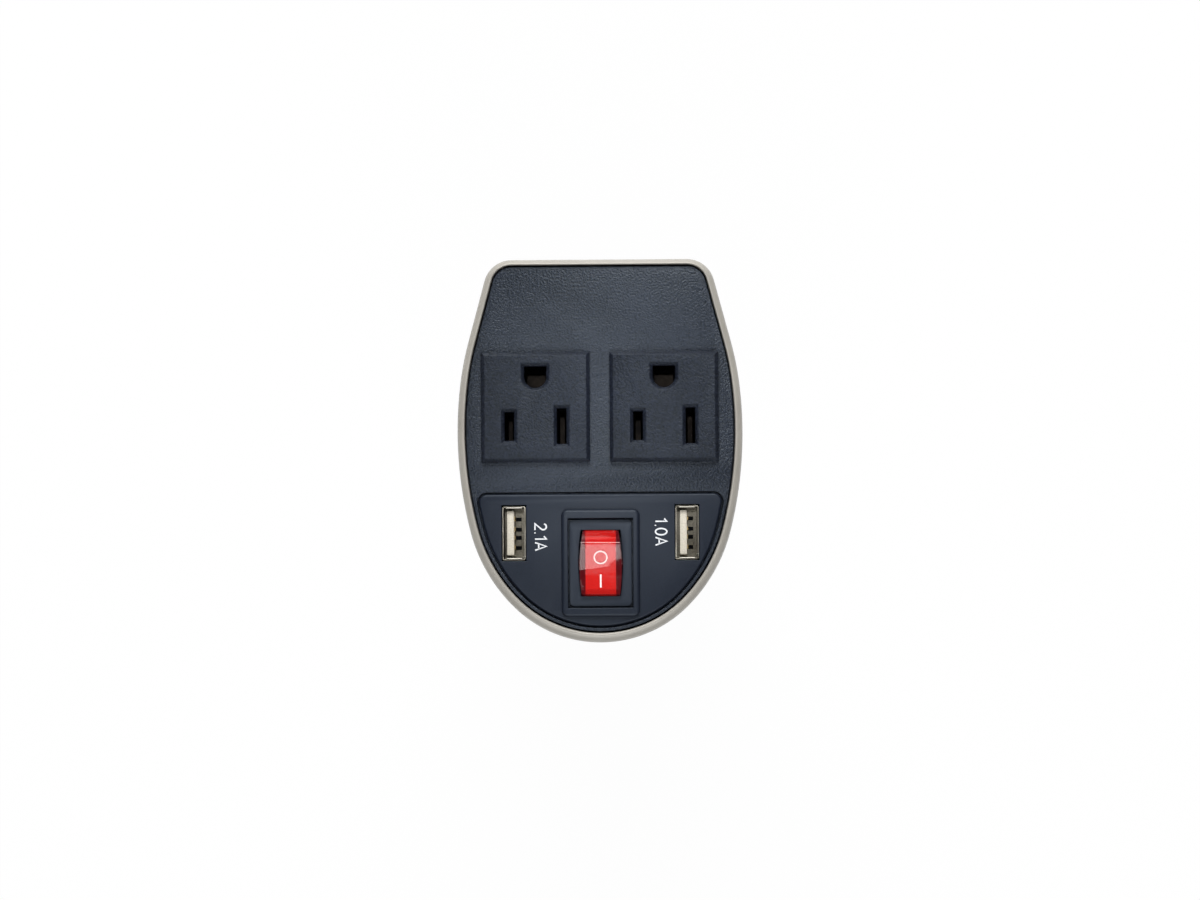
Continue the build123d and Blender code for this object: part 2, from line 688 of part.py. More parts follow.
# Head housing: bowl that flows from the round neck to the D, with a floor and an inner ledge
wall_low = neck_level + shoulder_height
ledge_inset = ledge_width + head_wall
with BuildPart() as head_housing:
    loft(head_sections(), ruled=True)
    with BuildSketch(Plane.XY.offset(wall_low)):
        add(head_outline(head_wall + head_draft))
    extrude(amount=ledge_level - ledge_thickness - wall_low, mode=Mode.SUBTRACT)
    with BuildSketch(Plane.XY.offset(ledge_level)):
        add(head_outline(ledge_inset))
        with Locations(*panel_boss_places):
            Circle(panel_boss_radius + panel_boss_clearance, mode=Mode.SUBTRACT)
    extrude(amount=-ledge_thickness, mode=Mode.SUBTRACT)
    with BuildSketch(Plane.XY.offset(ledge_level)):
        add(head_outline(rim_wall))
    extrude(amount=rim_level - ledge_level, mode=Mode.SUBTRACT)
    with BuildSketch(barrel_axis.offset(neck_level + head_floor)):
        Circle(neck_radius - head_wall - neck_ledge)
    extrude(amount=shoulder_height - head_floor, mode=Mode.SUBTRACT)
    with BuildSketch(barrel_axis.offset(neck_level)):
        Circle(cable_hole_radius)
    extrude(amount=head_floor, mode=Mode.SUBTRACT)
    with BuildSketch(Plane.XY.offset(neck_level)):
        with Locations(*head_screw_places):
            Circle(screw_hole)
    extrude(amount=head_floor, mode=Mode.SUBTRACT)
    with BuildSketch(Plane.XY.offset(ledge_level)):
        with Locations(*panel_boss_places):
            Circle(screw_hole)
    extrude(amount=-ledge_thickness, mode=Mode.SUBTRACT)
finish(head_housing, "head_housing")

make_screws(
    "head_screws", head_screw_places, neck_level + head_floor, head_floor + head_screw_reach
)
make_screws(
    "panel_screws",
    panel_boss_places,
    ledge_level - ledge_thickness,
    ledge_thickness + panel_screw_reach,
    down=False,
)

# Trim ring: drafted outer wall, sloped band and a small bevel round the inner edge
band_level = face_level - rim_below_face + ring_height
crest_level = band_level + ring_slope
with BuildPart() as trim_ring:
    for level, inset in ((rim_level, 0), (band_level, ring_draft)):
        with BuildSketch(Plane.XY.offset(level)):
            add(head_outline(inset))
    loft(ruled=True)
    with BuildSketch(Plane.XY.offset(band_level)):
        add(head_outline(ring_draft))
    with BuildSketch(Plane.XY.offset(crest_level)):
        add(head_outline(rim_width - ring_edge_bevel, rim_setback))
    loft(ruled=True)
    with BuildSketch(Plane.XY.offset(rim_level)):
        add(head_outline(rim_width, rim_setback))
    extrude(amount=ring_height + ring_slope, mode=Mode.SUBTRACT)
    with BuildSketch(Plane.XY.offset(crest_level - ring_edge_bevel)):
        add(head_outline(rim_width, rim_setback))
    with BuildSketch(Plane.XY.offset(crest_level)):
        add(head_outline(rim_width - ring_edge_bevel, rim_setback))
    loft(ruled=True, mode=Mode.SUBTRACT)
finish(trim_ring, "trim_ring")


def control_outline(grow):
    """The control panel's outline: the ring's inner edge in front, a straight edge behind."""
    with BuildSketch() as outline:
        add(head_outline(rim_width + control_inset - grow, rim_setback))
        with Locations((0, control_top_edge + grow - head_length / 2)):
            Rectangle(2 * head_width, head_length, mode=Mode.INTERSECT)
        fillet(outline.vertices().group_by(Axis.Y)[-1], control_corner + grow)
    return outline.sketch


outlet_places = [(side * outlet_pitch / 2, outlet_centre_y) for side in (-1, 1)]
usb_places = [(side * usb_centre_x, usb_centre_y) for side in (-1, 1)]
post_places = [(side * usb_post_x, usb_post_y) for side in (-1, 1)]

# Top panel: textured moulding with outlet windows, a recess for the control panel and posts
with BuildPart() as top_panel:
    with BuildSketch(Plane.XY.offset(ledge_level)):
        add(head_outline(rim_width + shadow_gap, rim_setback))
    extrude(amount=face_level - ledge_level)
    with BuildSketch(Plane.XY.offset(ledge_level)):
        add(head_outline(rim_width + shadow_gap + ledge_width, rim_setback))
    extrude(amount=panel_floor - ledge_level, mode=Mode.SUBTRACT)
    with BuildSketch(Plane.XY.offset(panel_floor)):
        with Locations(*panel_boss_places):
            Circle(panel_boss_radius)
    extrude(amount=-(panel_floor - ledge_level))
    with BuildSketch(Plane.XY.offset(panel_floor)):
        with Locations(*post_places):
            Circle(usb_post_radius)
    extrude(amount=-(panel_floor - usb_board_level))
    with BuildSketch(Plane.XY.offset(face_level - control_thickness)):
        add(control_outline(control_groove))
    extrude(amount=control_thickness, mode=Mode.SUBTRACT)
    with BuildSketch(Plane.XY.offset(panel_floor)):
        with Locations(*outlet_places):
            Rectangle(outlet_body + 2 * outlet_fit, outlet_body + 2 * outlet_fit)
        with Locations((0, switch_centre_y)):
            Rectangle(switch_body_width + 2 * switch_fit, switch_body_length + 2 * switch_fit)
        with Locations(*usb_places):
            Rectangle(usb_window_width, usb_window_length)
    extrude(amount=panel_thickness, mode=Mode.SUBTRACT)
    with BuildSketch(Plane.XY.offset(ledge_level)):
        with Locations(*panel_boss_places):
            Circle(screw_hole)
    extrude(amount=panel_floor - ledge_level, mode=Mode.SUBTRACT)
    with BuildSketch(Plane.XY.offset(usb_board_level)):
        with Locations(*post_places):
            Circle(screw_hole)
    extrude(amount=usb_post_hole, mode=Mode.SUBTRACT)
finish(top_panel, "top_panel")


def ground_outline(grow):
    """Ground-pin hole: round towards the nose, flat towards the rear."""
    radius = ground_width / 2 + grow
    flat = ground_length / 2 + grow
    middle = ground_width / 2 - ground_length / 2
    with BuildSketch() as outline:
        with BuildLine():
            Polyline((-radius, middle), (-radius, flat), (radius, flat), (radius, middle))
            ThreePointArc((radius, middle), (0, middle - radius), (-radius, middle))
        make_face()
    return outline.sketch


slots = (
    ("hot", -slot_spacing / 2, hot_slot_length),
    ("neutral", slot_spacing / 2, neutral_slot_length),
)


def make_outlet(name, place):
    """Outlet block: bevelled face on the panel, body through its window, pockets below."""
    face = Plane((place[0], place[1], face_level + outlet_rise))
    with BuildPart() as outlet:
        with BuildSketch(face.offset(-outlet_rise)):
            Rectangle(outlet_width, outlet_length)
        extrude(amount=outlet_rise)
        chamfer(outlet.faces().sort_by(Axis.Z)[-1].edges(), outlet_edge)
        with BuildSketch(face.offset(-outlet_rise)):
            Rectangle(outlet_body, outlet_body)
        extrude(amount=-outlet_depth)
        for _, across, length in slots:
            with BuildSketch(face):
                with Locations((across, -slot_drop)):
                    Rectangle(slot_width + 2 * mouth_bevel, length + 2 * mouth_bevel)
            extrude(amount=-mouth_bevel, taper=45, mode=Mode.SUBTRACT)
            with BuildSketch(face):
                with Locations((across, -slot_drop)):
                    Rectangle(slot_width, length)
            extrude(amount=-outlet_face, mode=Mode.SUBTRACT)
            with BuildSketch(face.offset(-outlet_face)):
                with Locations((across, -slot_drop)):
                    Rectangle(pocket_width, neutral_slot_length + 2 * pocket_margin)
            extrude(amount=-outlet_depth, mode=Mode.SUBTRACT)
        with BuildSketch(face):
            with Locations((0, ground_rise)):
                add(ground_outline(mouth_bevel))
        extrude(amount=-mouth_bevel, taper=45, mode=Mode.SUBTRACT)
        with BuildSketch(face):
            with Locations((0, ground_rise)):
                add(ground_outline(0))
        extrude(amount=-outlet_face, mode=Mode.SUBTRACT)
        with BuildSketch(face.offset(-outlet_face)):
            with Locations((0, ground_rise - ground_setback)):
                Rectangle(ground_pocket, ground_pocket - ground_setback)
        extrude(amount=-outlet_depth, mode=Mode.SUBTRACT)
    finish(outlet, name)


for name, place in zip(("outlet_left", "outlet_right"), outlet_places):
    make_outlet(name, place)

# Outlet covers: plates that close the pockets from below and hold the contacts
with BuildPart() as outlet_covers:
    with BuildSketch(Plane.XY.offset(outlet_low)):
        with Locations(*outlet_places):
            Rectangle(outlet_body, outlet_body)
    extrude(amount=-outlet_cover)
    fillet(outlet_covers.edges().filter_by(Axis.Z), cover_round)
    with BuildSketch(Plane.XY.offset(outlet_low)):
        for place in outlet_places:
            for _, across, _ in slots:
                with Locations((place[0] + across, place[1] - slot_drop)):
                    Rectangle(contact_sheet + 2 * cover_slot_fit, cover_slot_length)
            with Locations((place[0], place[1] + ground_rise - ground_setback)):
                Rectangle(cover_slot_length, contact_sheet + 2 * cover_slot_fit)
    extrude(amount=-outlet_cover, mode=Mode.SUBTRACT)
finish(outlet_covers, "outlet_covers")


def make_contacts(name, across, along, gap, length, tab_across):
    """Pair of sprung brass channels, one in each outlet, with a tab down through the cover."""
    leaf_top = face_level + outlet_rise - outlet_face - contact_top_gap
    leaf_half = gap / 2 + contact_sheet / 2
    with BuildPart() as contacts:
        for place in outlet_places:
            spot = (place[0] + across, place[1] + along)
            front = Plane((spot[0], spot[1], outlet_low), x_dir=(1, 0, 0), z_dir=(0, -1, 0))
            with BuildSketch(front):
                with BuildLine() as sheet:
                    Polyline(
                        (-leaf_half - contact_flare, leaf_top - outlet_low),
                        (-leaf_half, leaf_top - outlet_low - contact_flare_height),
                        (-leaf_half, contact_sheet / 2),
                        (leaf_half, contact_sheet / 2),
                        (leaf_half, leaf_top - outlet_low - contact_flare_height),
                        (leaf_half + contact_flare, leaf_top - outlet_low),
                    )
                trace(sheet.line, contact_sheet)
            extrude(amount=length / 2, both=True)
            with BuildSketch(Plane((spot[0], spot[1], outlet_low))):
                if tab_across:
                    Rectangle(contact_tab_width, contact_sheet)
                else:
                    Rectangle(contact_sheet, contact_tab_width)
            extrude(amount=-contact_tab_length)
    finish(contacts, name)


make_contacts(
    "hot_contacts", -slot_spacing / 2, -slot_drop, pin_gap, hot_contact_length, tab_across=False
)
make_contacts(
    "neutral_contacts",
    slot_spacing / 2,
    -slot_drop,
    pin_gap,
    neutral_contact_length,
    tab_across=False,
)
make_contacts(
    "ground_contacts",
    0,
    ground_rise - ground_setback,
    ground_gap,
    ground_contact_length,
    tab_across=True,
)

# Control panel: smooth plate in the recess, bevelled edge, windows for the switch and ports
with BuildPart() as control_panel:
    with BuildSketch(Plane.XY.offset(face_level - control_thickness)):
        add(control_outline(0))
    extrude(amount=control_thickness)
    chamfer(control_panel.faces().sort_by(Axis.Z)[-1].edges(), control_bevel)
    with BuildSketch(Plane.XY.offset(face_level)):
        with Locations((0, switch_centre_y)):
            Rectangle(bezel_inner_width, bezel_inner_length)
        with Locations(*usb_places):
            Rectangle(usb_window_width, usb_window_length)
    extrude(amount=-control_thickness, mode=Mode.SUBTRACT)
finish(control_panel, "control_panel")

# Switch bezel: raised frame with a rounded outer edge
switch_axis = Plane((0, switch_centre_y, 0))
with BuildPart() as switch_bezel:
    with BuildSketch(switch_axis.offset(face_level)):
        RectangleRounded(bezel_width, bezel_length, bezel_corner)
    extrude(amount=bezel_rise)
    fillet(switch_bezel.faces().sort_by(Axis.Z)[-1].edges(), bezel_round)
    with BuildSketch(switch_axis.offset(face_level)):
        Rectangle(bezel_inner_width, bezel_inner_length)
    extrude(amount=bezel_rise, mode=Mode.SUBTRACT)
finish(switch_bezel, "switch_bezel")

# Worked-out rocker geometry, in the rocker's own frame: origin on the pivot, u along the
# rocker, v up. At rest the nose end is pressed (on) and the rear end stands up.
end_reach = opening_length / 2 - rocker_end_gap
end_radius = sqrt(end_reach**2 + pivot_depth**2)
cavity_radius = end_radius + cavity_clearance
end_turn = degrees(asin(end_reach / end_radius))
crease_height = (pivot_depth + pressed_rise) / cos(radians(rocker_tilt))
facet_slope = tan(radians(rocker_tilt))
tilt = radians(rocker_tilt)
pivot = Vector(0, switch_centre_y, pivot_level)
rocker_up = Plane(pivot, x_dir=(1, 0, 0), z_dir=(0, -sin(tilt), cos(tilt)))
rocker_side = Plane(pivot, x_dir=(0, cos(tilt), sin(tilt)), z_dir=(1, 0, 0))
switch_side = Plane(pivot, x_dir=(0, 1, 0), z_dir=(1, 0, 0))


def barrel_shape(half_length, width, end_width, end_length):
    """Plan of the rocker and its opening: sides bowed from end_width to width."""
    bow = (width - end_width) / 2 * (half_length / (end_length / 2)) ** 2
    end_half = width / 2 - bow
    with BuildSketch() as plan:
        with BuildLine():
            side = ThreePointArc((end_half, -half_length), (width / 2, 0), (end_half, half_length))
            Line(side @ 1, (0, half_length))
            Line(side @ 0, (0, -half_length))
            mirror(about=Plane.YZ)
        make_face()
    return plan.sketch


# The room that the rocker swings in: bowed opening above, full width below the flange
with BuildPart() as rocker_opening:
    with BuildSketch(switch_axis.offset(pivot_level)):
        add(barrel_shape(cavity_radius, opening_width, opening_end_width, opening_length))
    extrude(amount=pivot_depth)
    with BuildSketch(switch_side):
        Circle(cavity_radius)
    extrude(amount=opening_width, both=True, mode=Mode.INTERSECT)

with BuildPart() as rocker_room:
    with BuildSketch(switch_side):
        Circle(cavity_radius)
        with Locations((0, (pivot_depth - opening_lip) / 2)):
            Rectangle(2 * cavity_radius, pivot_depth - opening_lip, mode=Mode.INTERSECT)
    extrude(amount=switch_body_width / 2 - switch_wall, both=True)

# Switch housing: flange on the panel, body through it, cavity that the rocker swings in
with BuildPart() as switch_housing:
    with BuildSketch(switch_axis.offset(face_level - flange_thickness)):
        RectangleRounded(flange_width, flange_length, flange_corner)
    extrude(amount=flange_thickness)
    with BuildSketch(switch_axis.offset(face_level - flange_thickness)):
        Rectangle(switch_body_width, switch_body_length)
    extrude(amount=-switch_depth)
    add(rocker_opening.part, mode=Mode.SUBTRACT)
    add(rocker_room.part, mode=Mode.SUBTRACT)
    with BuildSketch(switch_axis.offset(pivot_level)):
        Rectangle(switch_body_width - 2 * switch_wall, opening_length)
    cavity_floor = face_level - flange_thickness - switch_depth + switch_floor
    extrude(amount=cavity_floor - pivot_level, mode=Mode.SUBTRACT)
    with BuildSketch(switch_side):
        Circle(trunnion_radius + trunnion_clearance)
    extrude(amount=switch_body_width, both=True, mode=Mode.SUBTRACT)
    with BuildSketch(switch_axis.offset(cavity_floor)):
        with GridLocations(0, seesaw_tip_reach, 1, 3):
            Rectangle(terminal_width + 2 * switch_fit, terminal_sheet + 2 * switch_fit)
    extrude(amount=-switch_floor, mode=Mode.SUBTRACT)
finish(switch_housing, "switch_housing")


def rocker_half(crease, edge_run, skirt):
    """Points of half a profile: the crease, the facet's end and the skirt below it."""
    return (0, crease), (edge_run, crease + edge_run * facet_slope), skirt


# Rocker: clear cap with two facets, curved ends and a trunnion on each side
with BuildPart() as rocker:
    with BuildSketch(rocker_side):
        with BuildLine():
            arc_start = 90 - (end_turn - rocker_tilt)
            arc_turn = 2 * rocker_tilt + 2
            end = CenterArc((0, 0), end_radius, arc_start, -arc_turn)
            edge = (facet_run, crease_height + facet_run * facet_slope)
            Polyline((0, crease_height), edge, end @ 0)
            Polyline(
                end @ 1,
                ((end @ 1).X - rocker_skirt_wall, rocker_skirt),
                (rocker_belly_width, rocker_skirt),
                (rocker_waist_width, -rocker_waist),
                (0, -rocker_keel),
            )
            mirror(about=Plane.YZ)
        make_face()
    extrude(amount=rocker_width / 2, both=True)
    with BuildSketch(rocker_up.offset(-rocker_low)):
        add(barrel_shape(end_radius + 1, rocker_width, rocker_end_width, opening_length))
    extrude(amount=rocker_low + 2 * crease_height, mode=Mode.INTERSECT)
    fillet(rocker.edges().filter_by(Axis.X).group_by(Axis.Z)[-1], rocker_round)
    with BuildSketch(rocker_side):
        Circle(trunnion_radius)
    extrude(amount=rocker_width / 2 + trunnion_length, both=True)
    with BuildSketch(rocker_side):
        with BuildLine():
            Polyline(
                *rocker_half(
                    crease_height - rocker_wall,
                    facet_run - rocker_wall,
                    (end_radius - rocker_end_wall, rocker_skirt - 2 * core_clearance),
                ),
                (end_radius - rocker_end_wall, -rocker_low),
                (0, -rocker_low),
            )
            mirror(about=Plane.YZ)
        make_face()
    extrude(amount=core_width / 2, both=True, mode=Mode.SUBTRACT)
finish(rocker, "rocker")

# Rocker core: opaque insert under the clear cap, with the stem that carries the plunger
inner_half = core_width / 2 - core_clearance
with BuildPart() as rocker_core:
    with BuildSketch(rocker_side):
        with BuildLine():
            Polyline(
                *rocker_half(
                    crease_height - rocker_wall - core_clearance,
                    facet_run - rocker_wall - core_clearance,
                    (end_radius - rocker_end_wall - 2 * core_clearance, rocker_skirt),
                ),
                (stem_half + stem_spread, rocker_skirt),
                (stem_half, rocker_skirt - stem_slope),
                (stem_half, -stem_drop),
                (0, -stem_drop),
            )
            mirror(about=Plane.YZ)
        make_face()
    extrude(amount=inner_half, both=True)
    with BuildSketch(rocker_up.offset(-stem_drop)):
        Circle(spring_radius + spring_wire + spring_side_gap)
    extrude(amount=stem_drop + spring_hole_rise, mode=Mode.SUBTRACT)
    with BuildSketch(rocker_side.offset(-lamp_length / 2)):
        with Locations((0, crease_height - rocker_wall - lamp_cover - lamp_radius)):
            Circle(lamp_radius + lamp_fit)
    extrude(amount=lamp_length + inner_half, mode=Mode.SUBTRACT)
finish(rocker_core, "rocker_core")

# Indicator lamp: small tube across the core, below the crease
with BuildPart() as indicator_lamp:
    with BuildSketch(rocker_side.offset(-lamp_length / 2)):
        with Locations((0, crease_height - rocker_wall - lamp_cover - lamp_radius)):
            Circle(lamp_radius)
    extrude(amount=lamp_length)
    fillet(indicator_lamp.edges().sort_by(Axis.X)[-1], lamp_round)
finish(indicator_lamp, "indicator_lamp")

# Plunger: headed pin in the stem, pushed down on the tilting contact
with BuildPart() as switch_plunger:
    with BuildSketch(rocker_up.offset(-plunger_reach)):
        Circle(plunger_radius)
    extrude(amount=plunger_reach - plunger_head)
    fillet(switch_plunger.faces().sort_by(Axis.Z)[0].edges(), plunger_round)
    with BuildSketch(rocker_up.offset(-plunger_head - plunger_head_thickness)):
        Circle(spring_radius + spring_wire)
    extrude(amount=plunger_head_thickness)
finish(switch_plunger, "switch_plunger")

# Plunger spring: one coil between the plunger's head and the roof of the hole
spring_length = spring_hole_rise + plunger_head - 2 * spring_wire - 2 * spring_end_gap
spring_foot = rocker_up.offset(-plunger_head + spring_wire + spring_end_gap)
with BuildPart() as plunger_spring:
    with BuildLine() as coil:
        Helix(
            spring_length / spring_turns,
            spring_length,
            spring_radius,
            center=spring_foot.origin,
            direction=spring_foot.z_dir,
        )
    with BuildSketch(Plane(coil.line @ 0, z_dir=coil.line % 0)):
        Circle(spring_wire)
    sweep(path=coil.line)
finish(plunger_spring, "plunger_spring")

# Tilting contact: strip that rocks with its pressed bead in the middle terminal's notch, with a
# silver tip at each end
lean = radians(-seesaw_tilt)
saddle = Vector(0, switch_centre_y, pivot_level - seesaw_drop)
seesaw_side = Plane(saddle, x_dir=(0, cos(lean), sin(lean)), z_dir=(1, 0, 0))
seesaw_up = Plane(saddle, x_dir=(1, 0, 0), z_dir=(0, -sin(lean), cos(lean)))
with BuildPart() as tilting_contact:
    with BuildSketch(seesaw_side):
        Circle(seesaw_bead_radius)
        with Locations((0, -seesaw_bead_radius / 2)):
            Rectangle(2 * seesaw_bead_radius, seesaw_bead_radius, mode=Mode.INTERSECT)
        Rectangle(2 * seesaw_half, seesaw_sheet)
    extrude(amount=seesaw_width / 2, both=True)
    with BuildSketch(seesaw_up.offset(-seesaw_sheet / 2)):
        with GridLocations(0, 2 * seesaw_tip_reach, 1, 2):
            Circle(seesaw_tip_radius)
    extrude(amount=-seesaw_tip_height)
finish(tilting_contact, "tilting_contact")

# Terminals: the middle one is notched for the contact's bead, the outer two face its tips
middle_top = pivot_level - seesaw_drop - seesaw_sheet / 2 - running_gap
tip_drop = seesaw_sheet / 2 + seesaw_tip_height
outer_top = (
    pivot_level
    - seesaw_drop
    - tip_drop * cos(lean)
    - (seesaw_tip_reach + seesaw_tip_radius) * sin(abs(lean))
    - running_gap
)
terminal_foot = cavity_floor - switch_floor - terminal_length
with BuildPart() as switch_terminals:
    for along, top in ((0, middle_top), (seesaw_tip_reach, outer_top), (-seesaw_tip_reach, outer_top)):
        with BuildSketch(switch_axis.offset(terminal_foot)):
            with Locations((0, along)):
                Rectangle(terminal_width, terminal_sheet)
        extrude(amount=top - terminal_foot)
    with BuildSketch(seesaw_side):
        Circle(seesaw_bead_radius + trunnion_clearance)
    extrude(amount=terminal_width, both=True, mode=Mode.SUBTRACT)
    feet = switch_terminals.edges().filter_by(Axis.Y).group_by(Axis.Z)[0]
    chamfer(feet, terminal_tip)
finish(switch_terminals, "switch_terminals")

# USB charger board under the ports, notched round the switch
with BuildPart() as usb_board:
    with BuildSketch(Plane.XY.offset(usb_board_level)):
        with Locations((0, (usb_board_rear + usb_board_front) / 2)):
            Rectangle(usb_board_width, usb_board_rear - usb_board_front)
        with Locations((0, (usb_board_notch + usb_board_front) / 2 - usb_board_gap)):
            Rectangle(
                switch_body_width + 2 * usb_notch_gap,
                usb_board_notch - usb_board_front + 2 * usb_board_gap,
                mode=Mode.SUBTRACT,
            )
        with Locations(*post_places):
            Circle(screw_hole, mode=Mode.SUBTRACT)
    extrude(amount=-usb_board_thickness)
finish(usb_board, "usb_board")
make_screws(
    "usb_board_screws",
    post_places,
    usb_board_level - usb_board_thickness,
    usb_board_thickness + usb_screw_reach,
    down=False,
)


def make_usb_port(side, place):
    """One USB-A socket: folded shell, insulating block with its tongue, four contacts."""
    face = Plane((place[0], place[1], face_level - usb_recess))
    floor = Plane((place[0], place[1], usb_board_level))
    inner_width = usb_shell_width - 2 * usb_shell_sheet
    inner_length = usb_shell_length - 2 * usb_shell_sheet
    with BuildPart() as shell:
        with BuildSketch(face):
            RectangleRounded(usb_shell_width, usb_shell_length, usb_shell_round)
            Rectangle(inner_width, inner_length, mode=Mode.SUBTRACT)
        extrude(amount=-usb_shell_depth)
    finish(shell, f"usb_shell_{side}")
    tongue_face = usb_tongue_offset + usb_tongue_width / 2
    with BuildPart() as tongue:
        with BuildSketch(floor):
            Rectangle(inner_width - 2 * usb_block_fit, inner_length - 2 * usb_block_fit)
        extrude(amount=usb_block_height)
        with BuildSketch(floor):
            with Locations((usb_tongue_offset, 0)):
                Rectangle(usb_tongue_width, usb_tongue_length)
        extrude(amount=usb_shell_depth - usb_tongue_recess)
        with BuildSketch(floor):
            with Locations((tongue_face + usb_relief_width / 2, 0)):
                for along in usb_contact_places:
                    with Locations((0, along)):
                        Rectangle(usb_relief_width, usb_relief_length)
        extrude(amount=usb_block_height, mode=Mode.SUBTRACT)
    finish(tongue, f"usb_tongue_{side}")
    with BuildPart() as contacts:
        with BuildSketch(floor):
            with Locations((tongue_face + usb_contact_sheet / 2, 0)):
                for along in usb_contact_places:
                    with Locations((0, along)):
                        Rectangle(usb_contact_sheet, usb_contact_width)
        extrude(amount=usb_shell_depth - usb_tongue_recess - usb_contact_recess)
    finish(contacts, f"usb_contacts_{side}")


for side, place in zip(("left", "right"), usb_places):
    make_usb_port(side, place)
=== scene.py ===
import json
from math import cos, pi, radians, sin, tan

import bmesh
import bpy
from mathutils import Matrix, Vector


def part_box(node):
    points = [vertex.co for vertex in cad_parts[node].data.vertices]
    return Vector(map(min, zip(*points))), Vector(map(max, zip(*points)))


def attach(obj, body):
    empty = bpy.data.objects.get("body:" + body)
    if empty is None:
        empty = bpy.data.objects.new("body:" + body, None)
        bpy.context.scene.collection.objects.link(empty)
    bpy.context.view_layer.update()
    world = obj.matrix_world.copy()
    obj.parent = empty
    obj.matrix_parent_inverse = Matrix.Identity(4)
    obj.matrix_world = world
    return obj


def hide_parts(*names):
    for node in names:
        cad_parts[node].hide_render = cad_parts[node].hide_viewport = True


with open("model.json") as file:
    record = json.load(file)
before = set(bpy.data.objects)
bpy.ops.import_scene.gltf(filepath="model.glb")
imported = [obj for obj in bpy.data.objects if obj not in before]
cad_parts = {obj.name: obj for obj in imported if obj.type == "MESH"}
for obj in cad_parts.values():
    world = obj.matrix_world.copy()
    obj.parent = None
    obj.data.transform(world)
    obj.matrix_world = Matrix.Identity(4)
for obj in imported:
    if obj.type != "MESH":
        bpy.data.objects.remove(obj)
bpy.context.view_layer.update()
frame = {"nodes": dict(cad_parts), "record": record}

# Car power inverter for a cup holder: finishes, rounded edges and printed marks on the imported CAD
# pieces. Metres, +Z up, the face with the outlets on top, the bowed nose along -Y.
nodes = frame["nodes"]
scene = bpy.context.scene
scene.view_settings.view_transform = "Standard"
mm = 0.001

# The camera hangs a metre over the face, a little towards the viewer's right and the nose, as in
# the photograph, where the housing shows as a thin dark line there only. Its picture is 291 mm
# wide at the face.
face_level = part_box("control_panel")[1].z
camera_rise, picture_width, sensor_width = 1.0, 0.291, 36.0
eye = Vector((0.010, -0.034, face_level + camera_rise))
aim = Vector((0.0, 0.0001, face_level))
camera_roll = radians(-0.35)
camera_data = bpy.data.cameras.new("camera")
camera_data.sensor_width = sensor_width
camera_data.lens = sensor_width * (eye - aim).length / picture_width
camera = bpy.data.objects.new("camera", camera_data)
scene.collection.objects.link(camera)
sight = (aim - eye).normalized()
right = sight.cross(Vector((-sin(camera_roll), cos(camera_roll), 0))).normalized()
camera.matrix_world = (
    Matrix.Translation(eye) @ Matrix((right, right.cross(sight), -sight)).transposed().to_4x4()
)
scene.camera = camera

# Studio light: a strong softbox behind the object gives the bright rear edges and the short
# shadows towards the nose. A weak one in front mirrors in the raised half of the rocker.


def add_softbox(name, place, width, height, watts, colour):
    data = bpy.data.lights.new(name, "AREA")
    data.shape, data.size, data.size_y = "RECTANGLE", width, height
    data.energy, data.color = watts, colour
    box = bpy.data.objects.new(name, data)
    scene.collection.objects.link(box)
    box.location = place
    box.rotation_euler = (aim - Vector(place)).to_track_quat("-Z", "Y").to_euler()


add_softbox("rear_softbox", (-0.05, 0.95, 0.93), 0.9, 0.30, 17.5, (1.0, 0.998, 0.99))
add_softbox("front_softbox", (0.0, -0.75, 1.05), 1.1, 0.7, 9.0, (0.98, 0.99, 1.0))

# A soft spot from overhead, narrower across than along, gives the dark plastics their grey sheen,
# which fades towards the trim ring.
overhead_data = bpy.data.lights.new("overhead_spot", "SPOT")
overhead_data.energy, overhead_data.shadow_soft_size = 27.0, 0.014
overhead_data.spot_size, overhead_data.spot_blend = radians(4.9), 1.0
overhead = bpy.data.objects.new("overhead_spot", overhead_data)
scene.collection.objects.link(overhead)
overhead.location, overhead.scale = (0.0, 0.13, 1.45), (0.68, 1.0, 1.0)
downward = Vector((0.0, 0.010, face_level)) - overhead.location
overhead.rotation_euler = downward.to_track_quat("-Z", "Y").to_euler()


# Every finish below is worked out as Python expressions on a material's node sockets.


class Field:
    """A node's output, on which Python's arithmetic adds Math nodes."""

    def __init__(self, socket):
        self.socket = socket

    def worked(self, operation, first, second):
        tree = self.socket.id_data
        node = tree.nodes.new("ShaderNodeMath")
        node.operation = operation
        for slot, value in zip(node.inputs, (first, second)):
            if isinstance(value, Field):
                tree.links.new(value.socket, slot)
            else:
                slot.default_value = value
        return Field(node.outputs[0])

    def __add__(self, other):
        return self.worked("ADD", self, other)

    def __sub__(self, other):
        return self.worked("SUBTRACT", self, other)

    def __rsub__(self, other):
        return self.worked("SUBTRACT", other, self)

    def __mul__(self, other):
        return self.worked("MULTIPLY", self, other)

    __radd__, __rmul__ = __add__, __mul__


class Graph:
    """A node tree, with a short way to add nodes and link them."""

    def __init__(self, tree):
        self.tree = tree

    def set(self, node, values):
        for key, value in values.items():
            slot = node.inputs[key if isinstance(key, int) else key.replace("_", " ")]
            if isinstance(value, Field):
                self.tree.links.new(value.socket, slot)
            else:
                slot.default_value = value

    def node(self, kind, values=(), output=0, **settings):
        node = self.tree.nodes.new(kind)
        for key, value in settings.items():
            setattr(node, key, value)
        self.set(node, dict(values))
        return Field(node.outputs[output])

    def spread(self, field, low, high):
        """The field, stretched so that low becomes 0 and high becomes 1."""
        return self.node("ShaderNodeMapRange", {"Value": field, "From Min": low, "From Max": high})


